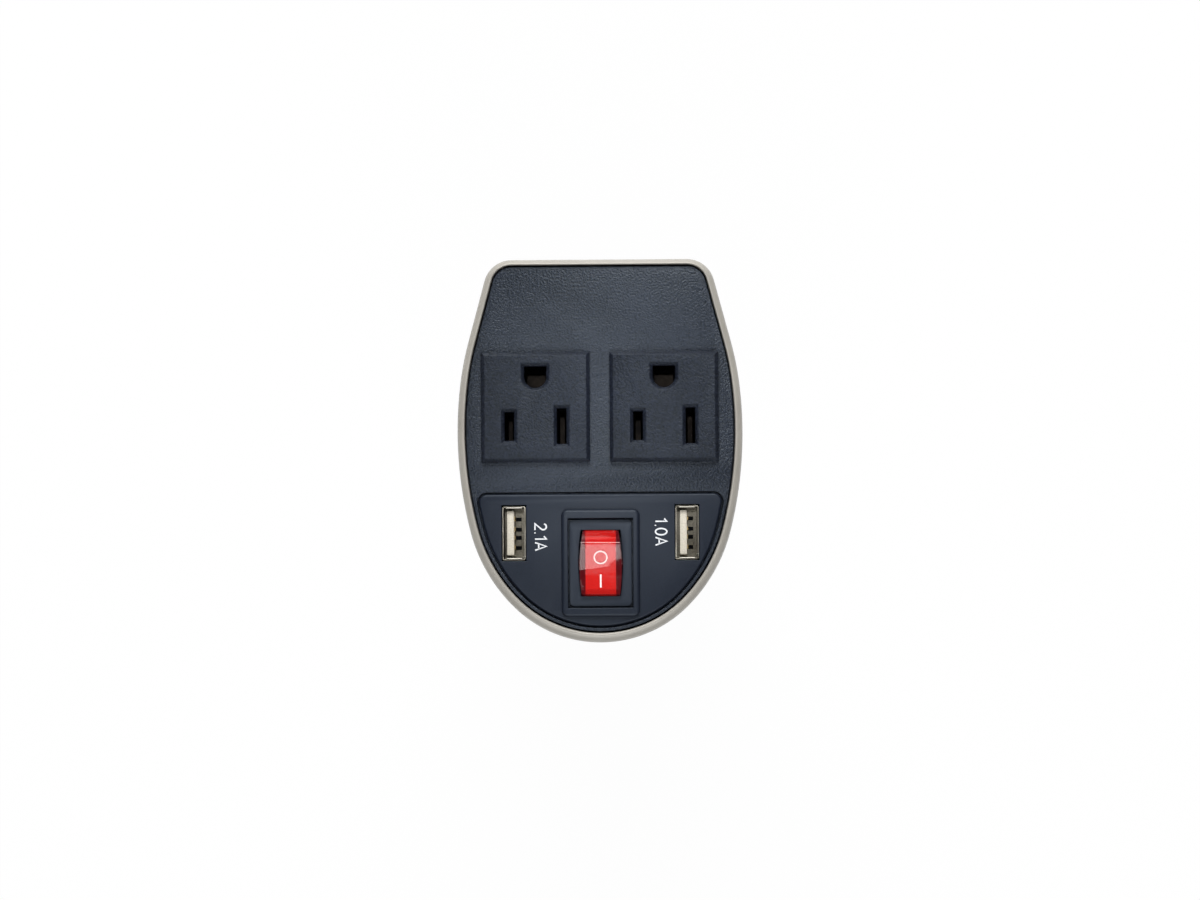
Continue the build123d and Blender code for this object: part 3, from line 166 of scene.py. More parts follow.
class Finish(Graph):
    """One material: a Principled shader and the patterns that feed it."""

    def __init__(self, name, **constants):
        self.material = bpy.data.materials.new(name)
        self.material.use_nodes = True
        super().__init__(self.material.node_tree)
        self.shader = self.tree.nodes["Principled BSDF"]
        self.set(self.shader, constants)

    def place(self, stretch=(1, 1, 1)):
        """Position on the object, in metres, squeezed along some axes for drawn-out grain."""
        spot = self.node("ShaderNodeTexCoord", output="Object")
        return self.node("ShaderNodeVectorMath", {0: spot, 1: stretch}, operation="MULTIPLY")

    def noise(self, size, detail=2.0, stretch=(1, 1, 1)):
        """Even noise whose features are about size metres across, between 0 and 1."""
        return self.node(
            "ShaderNodeTexNoise",
            {"Vector": self.place(stretch), "Scale": 1 / size, "Detail": detail},
        )

    def mix(self, share, first, second):
        """A colour between two colours."""
        wrap = lambda c: c if isinstance(c, Field) else (*c, 1)
        values = {0: share, 6: wrap(first), 7: wrap(second)}
        return self.node("ShaderNodeMix", values, output=2, data_type="RGBA")

    def bump(self, height, depth):
        """A normal that follows height, whose whole range stands depth metres tall."""
        return self.node("ShaderNodeBump", {"Height": height, "Distance": depth})

    def feed(self, **values):
        self.set(self.shader, values)
        return self

    def paint(self, *pieces):
        for piece in pieces:
            piece.data.materials.clear()
            piece.data.materials.append(self.material)
        return self


def seen(red, green, blue):
    """A colour as a screen shows it, 0 to 255, turned into the shader's linear values."""
    return tuple(
        c / 12.92 if c <= 0.04045 else ((c + 0.055) / 1.055) ** 2.4
        for c in (red / 255, green / 255, blue / 255)
    )


# The surround is white to the camera. As light it is dim overhead and at the sides, bright low
# down behind the object and weaker in front, so edges along X shine and edges along Y go dark.
world = bpy.data.worlds.new("surround")
scene.world = world
world.use_nodes = True
sky = Graph(world.node_tree)
direction = sky.node("ShaderNodeTexCoord", output="Generated")
toward_rear = sky.node("ShaderNodeSeparateXYZ", {0: direction}, output="Y")
upward = sky.node("ShaderNodeSeparateXYZ", {0: direction}, output="Z")
low_down = sky.spread(upward, 0.70, 0.15)
behind, before = sky.spread(toward_rear, 0.1, 0.9), sky.spread(toward_rear, -0.1, -0.9)
ambient = low_down * (behind * 1.1 + before * 0.62 + 0.05) + 0.08
to_camera = sky.node("ShaderNodeLightPath", output="Is Camera Ray")
sky.set(
    sky.tree.nodes["Background"],
    {"Color": (1, 1, 1, 1), "Strength": ambient + (1.0 - ambient) * to_camera},
)

# The floor is pale and matt. To the camera it glows almost white by itself, and the rest of it
# takes the object's shadow.
floor_reach = 0.6
floor_mesh = bpy.data.meshes.new("floor")
corners = [(x * floor_reach, y * floor_reach, 0) for x, y in ((-1, -1), (1, -1), (1, 1), (-1, 1))]
floor_mesh.from_pydata(corners, [], [(0, 1, 2, 3)])
floor = bpy.data.objects.new("floor", floor_mesh)
scene.collection.objects.link(floor)
floor_paint = Finish("floor_paint", Roughness=0.9, Specular_IOR_Level=0.1)
floor_paint.feed(
    Base_Color=floor_paint.mix(floor_paint.noise(0.4), (0.80, 0.80, 0.80), (0.82, 0.82, 0.82))
)
seen_directly = floor_paint.node("ShaderNodeLightPath", output="Is Camera Ray")
glow = floor_paint.node("ShaderNodeEmission", {"Color": (1, 1, 1, 1), "Strength": 1.0})
both = floor_paint.node(
    "ShaderNodeMixShader",
    {0: seen_directly * 0.97, 1: Field(floor_paint.shader.outputs[0]), 2: glow},
)
floor_paint.tree.links.new(
    both.socket, floor_paint.tree.nodes["Material Output"].inputs["Surface"]
)
floor_paint.paint(floor)


# Rubber feet: four pressed pads of black rubber, glued over the heads of the base screws.
body_of = {n: body for body, group in frame["record"]["behaviour"]["bodies"].items() for n in group}


def soften(name, radius, material, steps=2):
    """The CAD piece with its edges rounded by radius, as it leaves the mould or press."""
    source = nodes[name]
    shape = bmesh.new()
    shape.from_mesh(source.data)
    bmesh.ops.remove_doubles(shape, verts=shape.verts, dist=0.002 * mm)
    flat = radians(0.7)
    bmesh.ops.dissolve_limit(shape, angle_limit=flat, verts=shape.verts, edges=shape.edges)
    mesh = bpy.data.meshes.new(f"{name}_mesh")
    shape.to_mesh(mesh)
    shape.free()
    mesh.shade_smooth()
    piece = bpy.data.objects.new(f"{name}_finished", mesh)
    scene.collection.objects.link(piece)
    rounding = piece.modifiers.new("rounding", "BEVEL")
    rounding.width, rounding.segments = radius, steps
    rounding.limit_method, rounding.angle_limit = "ANGLE", radians(28)
    rounding.harden_normals = True
    material.paint(piece)
    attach(piece, body_of[name])
    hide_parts(name)
    return piece


def make_rubber(name, grain):
    rubber = Finish(name, Specular_IOR_Level=0.25)
    fine = rubber.noise(grain, 3.0)
    dust = rubber.spread(rubber.noise(0.018, 3.0), 0.35, 0.75)
    rubber.feed(
        Base_Color=rubber.mix(dust, seen(29, 30, 32), seen(39, 40, 43)),
        Roughness=fine * 0.2 + 0.62,
        Normal=rubber.bump(fine, 0.05 * mm),
    )
    return rubber


foot_rubber = make_rubber("foot_rubber", 0.6 * mm)
soften("rubber_feet", 0.25 * mm, foot_rubber)


# Base cap, barrel and head: moulded in navy-black ABS from a spark-eroded tool, which leaves a
# fine even grain. Its pale specks are painted glints, a lighter colour where the grain stands up.


def make_plastic(name, dark, light, grain, depth, gloss, specular=0.5, tint=(0.80, 0.90, 1.0)):
    """Moulded plastic between two colours, with grain of a size and depth in metres."""
    plastic = Finish(name, Specular_IOR_Level=specular, Specular_Tint=(*tint, 1))
    grain_and_glint = plastic.noise(grain, 3.0)
    cloud = plastic.noise(0.02, 3.0)
    # The colour lightens where the grain stands up: partly the grain's own tone, partly a painted
    # glint.
    tone = plastic.spread(grain_and_glint + (cloud - 0.5) * 0.35, 0.30, 0.70)
    plastic.feed(
        Base_Color=plastic.mix(tone, seen(*dark), seen(*light)),
        Roughness=grain_and_glint * 0.24 + gloss,
        Normal=plastic.bump(grain_and_glint, depth),
    )
    return plastic


housing_plastic = make_plastic(
    "housing_plastic", (17, 22, 31), (30, 36, 47), 0.42 * mm, 0.05 * mm, 0.42
)
soften("base_cap", 0.25 * mm, housing_plastic)
soften("barrel_housing", 0.3 * mm, housing_plastic)

# Cooling fan: glass-filled black nylon frame and rotor, which look through the base cap's grille.
fan_nylon = make_plastic("fan_nylon", (18, 20, 23), (30, 33, 37), 0.3 * mm, 0.02 * mm, 0.38)
soften("fan_frame", 0.2 * mm, fan_nylon)
soften("fan_rotor", 0.12 * mm, fan_nylon)

# Grip sleeve and cord gland: black rubber, stretched over the barrel and pushed into its wall.
sleeve_rubber = make_rubber("sleeve_rubber", 0.45 * mm)
soften("grip_sleeve", 0.28 * mm, sleeve_rubber)
soften("cord_gland", 0.35 * mm, sleeve_rubber, steps=3)


# Screws and the plunger's spring: cold-headed steel with bright zinc plating, slightly mottled.


def make_metal(name, dark, light, gloss, stretch=(1, 1, 1), grain=0.5 * mm):
    metal = Finish(name, Metallic=1.0)
    drawn = metal.noise(grain, 4.0, stretch)
    stain = metal.spread(metal.noise(0.004, 3.0), 0.3, 0.7)
    metal.feed(
        Base_Color=metal.mix(stain, seen(*dark), seen(*light)),
        Roughness=drawn * 0.22 + gloss,
        Normal=metal.bump(drawn, 0.01 * mm),
    )
    return metal


zinc = make_metal("zinc_plate", (150, 152, 156), (196, 198, 200), 0.2)
zinc.paint(*(nodes[n] for n in nodes if n.endswith("_screws")), nodes["plunger_spring"])

# Circuit boards: woven glass laminate under green solder mask. The weave shows faintly.
laminate = Finish("green_laminate", Roughness=0.34)
warp = laminate.noise(0.7 * mm, 1.0, (4, 1, 1))
weft = laminate.noise(0.7 * mm, 1.0, (1, 1, 4))
weave = laminate.spread(warp * 0.5 + weft * 0.5, 0.35, 0.65)
laminate.feed(
    Base_Color=laminate.mix(weave, seen(18, 78, 46), seen(32, 108, 66)),
    Normal=laminate.bump(weave, 0.015 * mm),
)
laminate.paint(nodes["main_board"], nodes["usb_board"])

# What the main board carries: pressed ferrite, taped windings, moulded epoxy packages, an extruded
# heat sink and capacitors in shrunk sleeves.
ferrite = make_plastic("grey_ferrite", (46, 46, 48), (68, 68, 72), 0.3 * mm, 0.04 * mm, 0.5)
soften("transformer_core", 0.25 * mm, ferrite)
soften("output_choke", 0.2 * mm, ferrite)
tape = make_plastic("yellow_tape", (190, 152, 34), (220, 184, 54), 1.4 * mm, 0.03 * mm, 0.3)
soften("transformer_winding", 0.4 * mm, tape)
epoxy = make_plastic("black_epoxy", (20, 20, 22), (36, 36, 38), 0.25 * mm, 0.03 * mm, 0.45)
for name in ("power_transistors", "input_fuse", "alarm_buzzer"):
    soften(name, 0.2 * mm, epoxy)
extruded = make_metal("extruded_aluminium", (168, 170, 174), (204, 206, 210), 0.28, (6, 6, 0.5))
soften("heat_sink", 0.12 * mm, extruded)
shrunk_sleeve = make_plastic("blue_sleeve", (20, 28, 78), (30, 42, 100), 2 * mm, 0.02 * mm, 0.16)
soften("capacitors", 0.3 * mm, shrunk_sleeve, steps=3)


# Head housing: one moulding that flows from the round neck of the barrel to the D of the face.
# Its rim ends in a thin lip that the trim ring drops over.
head_low, head_high = (corner.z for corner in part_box("head_housing"))
head_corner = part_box("head_housing")[0]
head_width, head_length = -2 * head_corner.x, -2 * head_corner.y
neck_radius, neck_rear_radius, neck_run = 33.2 * mm, 32.0 * mm, 0.6 * mm
barrel_setback = -8.0 * mm
shoulder_rise, shoulder_steps = 24.0 * mm, 26
head_wall, head_draft, head_floor, cable_hole = 2.4 * mm, 0.7 * mm, 2.5 * mm, 20.0 * mm
neck_bevel, neck_bore = 0.4 * mm, 30.2 * mm
lip_inset, lip_width, lip_gap = 0.12 * mm, 0.3 * mm, 0.15 * mm
lip_drop, ledge_drop = 1.8 * mm, 2.0 * mm
arc_turns = tuple(radians(t) for t in (44.5, 31.0, 21.5))
side_lean = radians(15.0)
arc_turns += (radians(90) + side_lean - sum(arc_turns), radians(90) - side_lean)
cheek_radius, flank_radius, shoulder_radius, corner_radius = (
    r * mm for r in (39.5, 97.0, 72.0, 6.9)
)
widest_turn = arc_turns[0] + arc_turns[1]
nose_radius = (
    head_width / 2
    - cheek_radius * (sin(widest_turn) - sin(arc_turns[0]))
    - flank_radius * (1 - sin(widest_turn))
) / sin(arc_turns[0])
head_radii = (nose_radius, cheek_radius, flank_radius, shoulder_radius, corner_radius)
points_on_arc = (20, 16, 14, 6, 14)


def climb(radii):
    """How far along Y the arcs of half the D climb in all."""
    turned, total = 0.0, 0.0
    for radius, turn in zip(radii, arc_turns):
        total += radius * (cos(turned) - cos(turned + turn))
        turned += turn
    return total


side_run = (head_length - climb(head_radii)) / cos(side_lean)


def d_loop(front, radii, run, inset):
    """Points round the D, from the nose over the right side to the rear and back."""
    spot, heading = Vector((0.0, front + inset)), 0.0
    half = [spot.copy()]
    for number, (radius, turn, count) in enumerate(zip(radii, arc_turns, points_on_arc)):
        if number == 4:
            spot = spot + run * Vector((cos(heading), sin(heading)))
            half.append(spot.copy())
        bend = radius - inset
        centre = spot + bend * Vector((-sin(heading), cos(heading)))
        for step in range(1, count + 1):
            along = heading + turn * step / count
            half.append(centre + bend * Vector((sin(along), -cos(along))))
        heading += turn
        spot = half[-1].copy()
    left = [Vector((-p.x, p.y)) for p in reversed(half[1:])]
    return half + left


def face_loop(inset, setback=0.0):
    return d_loop(setback - head_length / 2, head_radii, side_run, inset)


def neck_loop(share, inset=0.0):
    """A section of the shoulder: the round neck at share 0, the face outline at share 1."""
    radii = [
        (1 - share) * n + share * h
        for n, h in zip((neck_radius,) * 4 + (neck_rear_radius,), head_radii)
    ]
    front = (1 - share) * (barrel_setback - neck_radius) - share * head_length / 2
    run = (1 - share) * neck_run + share * side_run
    return d_loop(front, radii, run, share * head_draft + inset)


def loft(name, rings, material, body="root", closed=True, sharp=35):
    """A skin over rings of (points, level), closed like a band or else with flat ends."""
    shape = bmesh.new()
    skins = [[shape.verts.new((p.x, p.y, z)) for p in points] for points, z in rings]
    pairs = list(zip(skins, skins[1:] + skins[:1])) if closed else list(zip(skins, skins[1:]))
    for low, high in pairs:
        count = len(low)
        for i in range(count):
            j = (i + 1) % count
            shape.faces.new((low[i], low[j], high[j], high[i]))
    if not closed:
        shape.faces.new(skins[0])
        shape.faces.new(skins[-1])
    bmesh.ops.remove_doubles(shape, verts=shape.verts, dist=0.0005 * mm)
    bmesh.ops.recalc_face_normals(shape, faces=shape.faces)
    mesh = bpy.data.meshes.new(f"{name}_mesh")
    shape.to_mesh(mesh)
    shape.free()
    mesh.shade_smooth()
    mesh.set_sharp_from_angle(angle=radians(sharp))
    piece = bpy.data.objects.new(name, mesh)
    scene.collection.objects.link(piece)
    material.paint(piece)
    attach(piece, body)
    return piece


def smooth_step(share):
    return share * share * (3 - 2 * share)


climbed = [step / shoulder_steps for step in range(shoulder_steps + 1)]
neck_skin = [(neck_loop(smooth_step(c)), head_low + shoulder_rise * c) for c in climbed]
neck_skin[0] = (neck_loop(0.0, neck_bevel), head_low)
neck_skin.insert(1, (neck_loop(0.0), head_low + neck_bevel))
wall_low = head_low + shoulder_rise
head_skin = neck_skin + [
    (face_loop(0.0), head_high - 0.6 * mm),
    (face_loop(0.05 * mm), head_high - 0.25 * mm),
    (face_loop(lip_inset), head_high - lip_gap),
    (face_loop(lip_inset + lip_width), head_high - lip_gap),
    (face_loop(lip_inset + lip_width), head_high - lip_drop),
    (face_loop(head_wall + head_draft), head_high - ledge_drop),
    (face_loop(head_wall + head_draft), wall_low),
    (neck_loop(0.0, neck_radius - neck_bore), wall_low),
    (neck_loop(0.0, neck_radius - neck_bore), head_low + head_floor),
    (neck_loop(0.0, neck_radius - cable_hole), head_low + head_floor),
    (neck_loop(0.0, neck_radius - cable_hole), head_low),
]
head_piece = loft("head_housing_finished", head_skin, housing_plastic)
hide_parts("head_housing")

# Trim ring: moulded band, sprayed champagne grey with a fine metallic flake under clear lacquer.
# Its crown is softly rounded, and it is wider at the nose than at the rear. The profile below gives
# how far in and how far down each of its points lies, in millimetres.
ring_foot, ring_top = (corner.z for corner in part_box("trim_ring"))
ring_width, ring_setback, ring_even = 1.9, 0.45, 0.5
ring_height = (ring_top - ring_foot) / mm
ring_profile = (
    (0.03, ring_height), (0.03, 3.60), (0.10, 2.20), (0.22, 1.45), (0.40, 0.98), (0.62, 0.66),
    (0.88, 0.40), (1.14, 0.20), (1.38, 0.06), (1.56, 0.0), (1.70, 0.05), (1.81, 0.18),
    (1.88, 0.42), (ring_width, 0.70), (ring_width, ring_height),
)
ring_skin = []
for inset, drop in ring_profile:
    shift = ring_setback * max(0.0, inset - ring_even) / (ring_width - ring_even)
    ring_skin.append((face_loop(inset * mm, shift * mm), ring_top - drop * mm))
champagne = Finish("champagne_lacquer", Metallic=0.12, Coat_Weight=0.1, Coat_Roughness=0.2)
flake = champagne.noise(0.16 * mm, 1.0)
mottle = champagne.noise(0.012, 3.0)
champagne.feed(
    Base_Color=champagne.mix(
        champagne.spread(flake * 0.35 + mottle * 0.65, 0.3, 0.7),
        seen(151, 147, 139), seen(166, 162, 154),
    ),
    Roughness=flake * 0.16 + 0.32,
    Normal=champagne.bump(flake, 0.004 * mm),
)
ring_piece = loft("trim_ring_finished", ring_skin, champagne, sharp=60)
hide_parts("trim_ring")

# Top panel and outlet blocks: the same ABS with a coarser, leather-like grain, whose sparkle is
# painted glints. The blocks are a little darker and shine less. The blocks come from another
# tool and shine less. Covers close their pockets from below.
grained_plastic = make_plastic(
    "grained_plastic", (1, 3, 8), (29, 35, 49), 0.50 * mm, 0.26 * mm, 0.29
)
block_plastic = make_plastic(
    "block_plastic", (3, 5, 11), (26, 31, 44), 0.50 * mm, 0.26 * mm, 0.36, specular=0.34
)
soften("top_panel", 0.22 * mm, grained_plastic)
soften("outlet_left", 0.14 * mm, block_plastic)
soften("outlet_right", 0.14 * mm, block_plastic)
soften("outlet_covers", 0.2 * mm, housing_plastic)

# Outlet contacts, switch terminals and their like: sprung bronze and brass strip. Inside the
# outlets the bronze is painted near black, a painted shade where the light hardly reaches it.
bronze_painted_shade = make_metal("bronze_painted_shade", (15, 14, 14), (30, 27, 24), 0.40, (1, 1, 3))
bronze_painted_shade.paint(nodes["hot_contacts"], nodes["neutral_contacts"], nodes["ground_contacts"])
brass_strip = make_metal("brass_strip", (170, 138, 76), (210, 178, 108), 0.24, (1, 1, 3))
brass_strip.paint(
    *(nodes[n] for n in ("tilting_contact", "switch_terminals", "switch_plunger"))
)

# Control panel and switch bezel: satin navy-black ABS, nearly without grain. The panel is glued
# into the recess of the top panel.
satin_plastic = make_plastic(
    "satin_plastic", (12, 17, 29), (18, 24, 37), 0.35 * mm, 0.02 * mm, 0.37, specular=0.37
)
soften("control_panel", 0.16 * mm, satin_plastic)
soften("switch_bezel", 0.18 * mm, satin_plastic, steps=3)


# Current marks beside the ports: pad-printed in light grey ink, turned to read from the left.
ink = Finish("grey_ink", Specular_IOR_Level=0.3)
ink_grain = ink.noise(0.25 * mm, 2.0)
ink.feed(
    Base_Color=ink.mix(ink.spread(ink_grain, 0.3, 0.7), seen(196, 199, 202), seen(222, 224, 228)),
    Roughness=ink_grain * 0.2 + 0.4,
)
print_thickness, print_stroke = 0.02 * mm, 0.36 * mm
letter_height, letter_gap = 2.75 * mm, 0.62 * mm


def arc_points(centre_x, centre_y, across, along, start, end, count=20):
    """Points on a part of an ellipse, from one angle in degrees to another."""
    turns = [radians(start + (end - start) * i / count) for i in range(count + 1)]
    return [(centre_x + across * cos(t), centre_y + along * sin(t)) for t in turns]


# Each character's width and its strokes, in parts of the letter height.
characters = {
    "0": (0.56, [arc_points(0.28, 0.5, 0.28, 0.5, 0, 360, 40)]),
    "1": (0.34, [[(0.02, 0.78), (0.26, 1.0), (0.26, 0.0)]]),
    "2": (0.54, [arc_points(0.27, 0.73, 0.26, 0.27, 165, -35) + [(0.0, 0.0), (0.55, 0.0)]]),
    "A": (0.68, [[(0.0, 0.0), (0.34, 1.0), (0.68, 0.0)], [(0.12, 0.32), (0.56, 0.32)]]),
    ".": (0.10, [[(0.0, 0.0), (0.09, 0.0)]]),
}


def add_stroke(shape, points, width):
    """A flat ribbon of the given width along the points, with mitred bends."""
    spots = [Vector(p) for p in points]
    rows = []
    for i, spot in enumerate(spots):
        before_it = (spot - spots[max(i - 1, 0)]).normalized()
        after_it = (spots[min(i + 1, len(spots) - 1)] - spot).normalized()
        if i == 0 or i == len(spots) - 1:
            along = before_it + after_it
            side = Vector((-along.y, along.x)).normalized() * width / 2
        else:
            bend = (before_it + after_it).normalized()
            side = Vector((-bend.y, bend.x)) * width / 2 / max(bend.dot(before_it), 0.55)
        rows.append([(*(spot + way * side), 0.0) for way in (1, -1)])
    for first, second in zip(rows, rows[1:]):
        corners = [shape.verts.new(p) for p in (first[0], first[1], second[1], second[0])]
        shape.faces.new(corners)


def print_mark(name, words, centre):
    """Flat printed characters on the control panel, turned a quarter clockwise."""
    shape = bmesh.new()
    length = sum(characters[c][0] * letter_height + letter_gap for c in words) - letter_gap
    start = -length / 2
    for letter in words:
        width, strokes = characters[letter]
        for points in strokes:
            laid = [(start + x * letter_height, (y - 0.5) * letter_height) for x, y in points]
            add_stroke(shape, laid, print_stroke)
        start += width * letter_height + letter_gap
    bmesh.ops.remove_doubles(shape, verts=shape.verts, dist=0.001 * mm)
    bmesh.ops.recalc_face_normals(shape, faces=shape.faces)
    bmesh.ops.solidify(shape, geom=list(shape.faces), thickness=print_thickness)
    level = face_level + print_thickness
    shape.transform(Matrix.Translation((*centre, level)) @ Matrix.Rotation(radians(-90), 4, "Z"))
    mesh = bpy.data.meshes.new(f"{name}_mesh")
    shape.to_mesh(mesh)
    shape.free()
    piece = bpy.data.objects.new(name, mesh)
    scene.collection.objects.link(piece)
    ink.paint(piece)
    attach(piece, "root")


print_mark("left_port_mark", "2.1A", (-14.5 * mm, -20.9 * mm))
print_mark("right_port_mark", "1.0A", (14.7 * mm, -19.8 * mm))

# Rocker switch: black nylon housing, snapped into the panel from above.
switch_nylon = make_plastic("switch_nylon", (13, 19, 32), (20, 27, 40), 0.3 * mm, 0.03 * mm, 0.42)
soften("switch_housing", 0.12 * mm, switch_nylon)

# Rocker: clear red polycarbonate moulded over an opaque red core, with a small lamp below. Beside
# the core the cap is painted dark red, a painted shade for the dark housing seen through it.
core_edge = (3.55 * mm, 3.85 * mm)
clear_red = Finish("clear_red", Specular_IOR_Level=0.8, Coat_Weight=0.6, Coat_Roughness=0.06)
haze = clear_red.noise(1.2 * mm, 3.0)
across = clear_red.node("ShaderNodeSeparateXYZ", {0: clear_red.place()}, output="X")
# Painted shade: beside the core the cap's colour turns dark red.
painted_shade_beside_core = clear_red.spread(across * across, core_edge[0] ** 2, core_edge[1] ** 2)
clear_red.feed(
    Base_Color=clear_red.mix(painted_shade_beside_core, seen(222, 30, 26), seen(104, 4, 16)),
    Roughness=haze * 0.08 + 0.07,
    Alpha=haze * 0.06 + 0.48,
)
soften("rocker", 0.42 * mm, clear_red, steps=4)
opaque_red = Finish("opaque_red", Specular_IOR_Level=0.3)
swirl = opaque_red.noise(1.5 * mm, 3.0)
opaque_red.feed(
    Base_Color=opaque_red.mix(swirl, seen(214, 26, 22), seen(228, 38, 32)),
    Roughness=swirl * 0.1 + 0.28,
)
soften("rocker_core", 0.1 * mm, opaque_red)
lamp_glass = Finish("lamp_glass", Roughness=0.06, Alpha=0.5)
lamp_glass.feed(
    Base_Color=lamp_glass.mix(lamp_glass.noise(1 * mm), seen(240, 214, 196), seen(250, 232, 220))
)
lamp_glass.paint(nodes["indicator_lamp"])

# Marks on the rocker: white ink, a ring for off on the raised half and a bar for on.
switch_setback, pivot_drop = -27.3 * mm, 5.0 * mm
pivot = Vector((0.0, switch_setback, face_level - pivot_drop))
rocker_lean, facet_lean = radians(10), radians(10)
crease_height = 6.326 * mm
ink_gap, ink_top = 0.004 * mm, 0.03 * mm
white_ink = Finish("white_ink", Specular_IOR_Level=0.3)
white_grain = white_ink.noise(0.2 * mm)
white_ink.feed(
    Base_Color=white_ink.mix(white_grain, seen(244, 214, 212), seen(255, 232, 230)),
    Roughness=white_grain * 0.2 + 0.35,
)


def on_facet(across, along, lift):
    """A point lift above the rocker's facet, across it and along it from the crease."""
    up = crease_height + abs(along) * tan(facet_lean) + lift
    return pivot + Vector((
        across,
        along * cos(rocker_lean) - up * sin(rocker_lean),
        along * sin(rocker_lean) + up * cos(rocker_lean),
    ))


def print_on_rocker(name, outline, hole=None):
    """A thin flat print between an outline and, if there is one, its hole."""
    shape = bmesh.new()
    layers = []
    for lift in (ink_gap, ink_top):
        layers.append([
            [shape.verts.new(on_facet(x, y, lift)) for x, y in ring]
            for ring in ([outline, hole] if hole else [outline])
        ])
    bottom, top = layers
    for low, high in zip(bottom, top):
        for i in range(len(low)):
            j = (i + 1) % len(low)
            shape.faces.new((low[i], low[j], high[j], high[i]))
    for rings in layers:
        if hole:
            for i in range(len(outline)):
                j = (i + 1) % len(outline)
                shape.faces.new((rings[0][i], rings[0][j], rings[1][j], rings[1][i]))
        else:
            shape.faces.new(rings[0])
    bmesh.ops.recalc_face_normals(shape, faces=shape.faces)
    mesh = bpy.data.meshes.new(f"{name}_mesh")
    shape.to_mesh(mesh)
    shape.free()
    piece = bpy.data.objects.new(name, mesh)
    scene.collection.objects.link(piece)
    white_ink.paint(piece)
    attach(piece, "rocker_body")


def circle(radius, centre, count=48):
    return [
        (radius * cos(2 * pi * i / count), centre + radius * sin(2 * pi * i / count))
        for i in range(count)
    ]


off_centre, off_radius, stroke = 2.56 * mm, 1.70 * mm, 0.33 * mm
on_centre, on_length, bar_width = -3.2 * mm, 3.15 * mm, 0.40 * mm
print_on_rocker("off_mark", circle(off_radius, off_centre), circle(off_radius - stroke, off_centre))
print_on_rocker("on_mark", [
    (x * bar_width / 2, on_centre + y * on_length / 2)
    for x, y in ((-1, -1), (1, -1), (1, 1), (-1, 1))
])

# USB sockets: nickel-plated steel shells whose ends are folded over, round a cream polymer block
# and tongue. Four slots beside the tongue hold the contact springs. Black floors in them, a painted
# shade, make them look black from above.
nickel = make_metal("nickel_plate", (112, 108, 97), (158, 154, 143), 0.26, (1, 1, 0.4))
# A lighter copy of the nickel for the folded ends: a painted highlight where the folds catch the
# light.
nickel_fold_highlight = make_metal("nickel_fold_highlight", (176, 172, 160), (214, 210, 200), 0.30, (0.4, 1, 1))
cream = make_plastic(
    "cream_polymer", (176, 170, 156), (200, 194, 180), 0.4 * mm, 0.01 * mm, 0.4, tint=(1, 1, 1)
)
grey_block = make_plastic(
    "grey_block", (160, 154, 138), (200, 194, 178), 0.5 * mm, 0.03 * mm, 0.45, tint=(1, 1, 1)
)
chamber_painted_shade = make_plastic("chamber_painted_shade", (5, 6, 9), (12, 13, 17), 0.4 * mm, 0.01 * mm, 0.7)
# The gold contacts are painted darker, a painted shade for the slots they sit in.
gilt_painted_shade = make_metal("gilt_contacts_painted_shade", (96, 82, 56), (130, 112, 76), 0.22)
tongue_width, tongue_length, tongue_offset, tongue_drop = 1.80 * mm, 10.8 * mm, -0.87 * mm, 1.2 * mm
block_height, block_play, block_rise = 4.5 * mm, 0.35 * mm, 0.1 * mm
chamber_places = [y * mm for y in (-3.5, -1.0, 1.0, 3.5)]
chamber_near, chamber_far, chamber_half = 0.12 * mm, 1.60 * mm, 0.47 * mm
chamber_depth, sharp_edge = 1.2 * mm, 0.02 * mm
fold_width, fold_depth, fold_drop, fold_round = 3.9 * mm, 0.5 * mm, 0.8 * mm, 0.14 * mm


def rounded_rectangle(low, high, radius, steps=4):
    """Points round a rectangle between two corners, which has rounded corners."""
    points = []
    sides = ((high[0], high[1]), (low[0], high[1]), (low[0], low[1]), (high[0], low[1]))
    ways = ((1, 1), (-1, 1), (-1, -1), (1, -1))
    for corner, (side, way) in enumerate(zip(sides, ways)):
        middle = Vector(side) - radius * Vector(way)
        for step in range(steps + 1):
            turn = radians(90 * corner + 90 * step / steps)
            points.append(middle + radius * Vector((cos(turn), sin(turn))))
    return points


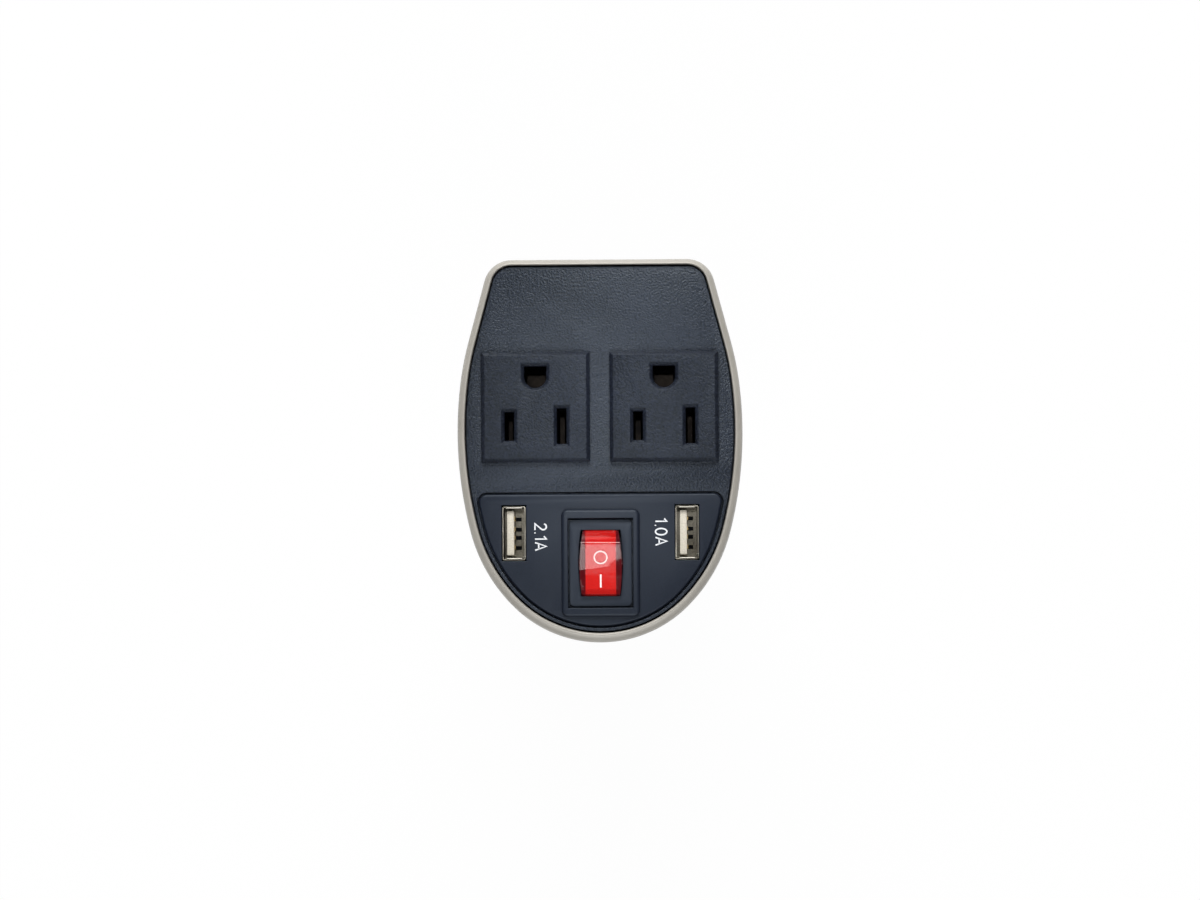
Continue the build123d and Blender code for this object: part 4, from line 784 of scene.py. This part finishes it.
def make_bar(name, low, high, material, radius, round_top):
    """An upright bar with rounded corners and a rounded top edge."""
    rings = [(rounded_rectangle(low, high, radius), low[2])]
    for inset, fall in ((0.0, 1.0), (0.3, 0.3), (1.0, 0.0)):
        shrink = inset * round_top
        near = (low[0] + shrink, low[1] + shrink)
        far = (high[0] - shrink, high[1] - shrink)
        rings.append((rounded_rectangle(near, far, radius), high[2] - fall * round_top))
    return loft(name, rings, material, closed=False)


for side in ("left", "right"):
    low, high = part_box(f"usb_shell_{side}")
    centre = (Vector(low) + Vector(high)) / 2
    soften(f"usb_shell_{side}", 0.1 * mm, nickel)
    gilt_painted_shade.paint(nodes[f"usb_contacts_{side}"])
    tongue_low = (centre.x + tongue_offset - tongue_width / 2, centre.y - tongue_length / 2, low[2])
    tongue_high = (
        tongue_low[0] + tongue_width, tongue_low[1] + tongue_length, high[2] - tongue_drop
    )
    tongue = make_bar(
        f"usb_tongue_{side}_finished", tongue_low, tongue_high, cream, 0.22 * mm, 0.3 * mm
    )
    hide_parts(f"usb_tongue_{side}")
    block_top = low[2] + block_height
    west, east = low[0] + block_play, high[0] - block_play
    south, north = low[1] + block_play, high[1] - block_play
    near, far = centre.x + chamber_near, centre.x + chamber_far
    edges = [south]
    for place in chamber_places:
        edges += [centre.y + place - chamber_half, centre.y + place + chamber_half]
    edges.append(north)
    spans = [("rear_wall", west, near, south, north), ("outer_wall", far, east, south, north)]
    spans += [
        (f"web_{n}", near, far, *pair) for n, pair in enumerate(zip(edges[::2], edges[1::2]))
    ]
    for part_name, x_low, x_high, y_low, y_high in spans:
        wall = make_bar(
            f"usb_{side}_{part_name}", (x_low, y_low, low[2] + block_rise),
            (x_high, y_high, block_top), grey_block, sharp_edge, 3 * sharp_edge,
        )
    # Painted shade: a black floor in each spring slot, where only shade falls.
    shade_floors = make_bar(
        f"usb_{side}_chambers", (near, south, low[2] + block_rise),
        (far, north, block_top - chamber_depth), chamber_painted_shade, sharp_edge, sharp_edge,
    )
    # The folded ends, in the lighter nickel of the painted highlight.
    for end, y in (("rear", high[1] - fold_depth), ("front", low[1])):
        fold = make_bar(
            f"usb_{side}_{end}_fold", (centre.x - fold_width / 2, y, high[2] - fold_drop),
            (centre.x + fold_width / 2, y + fold_depth, high[2]), nickel_fold_highlight, 0.1 * mm, fold_round,
        )
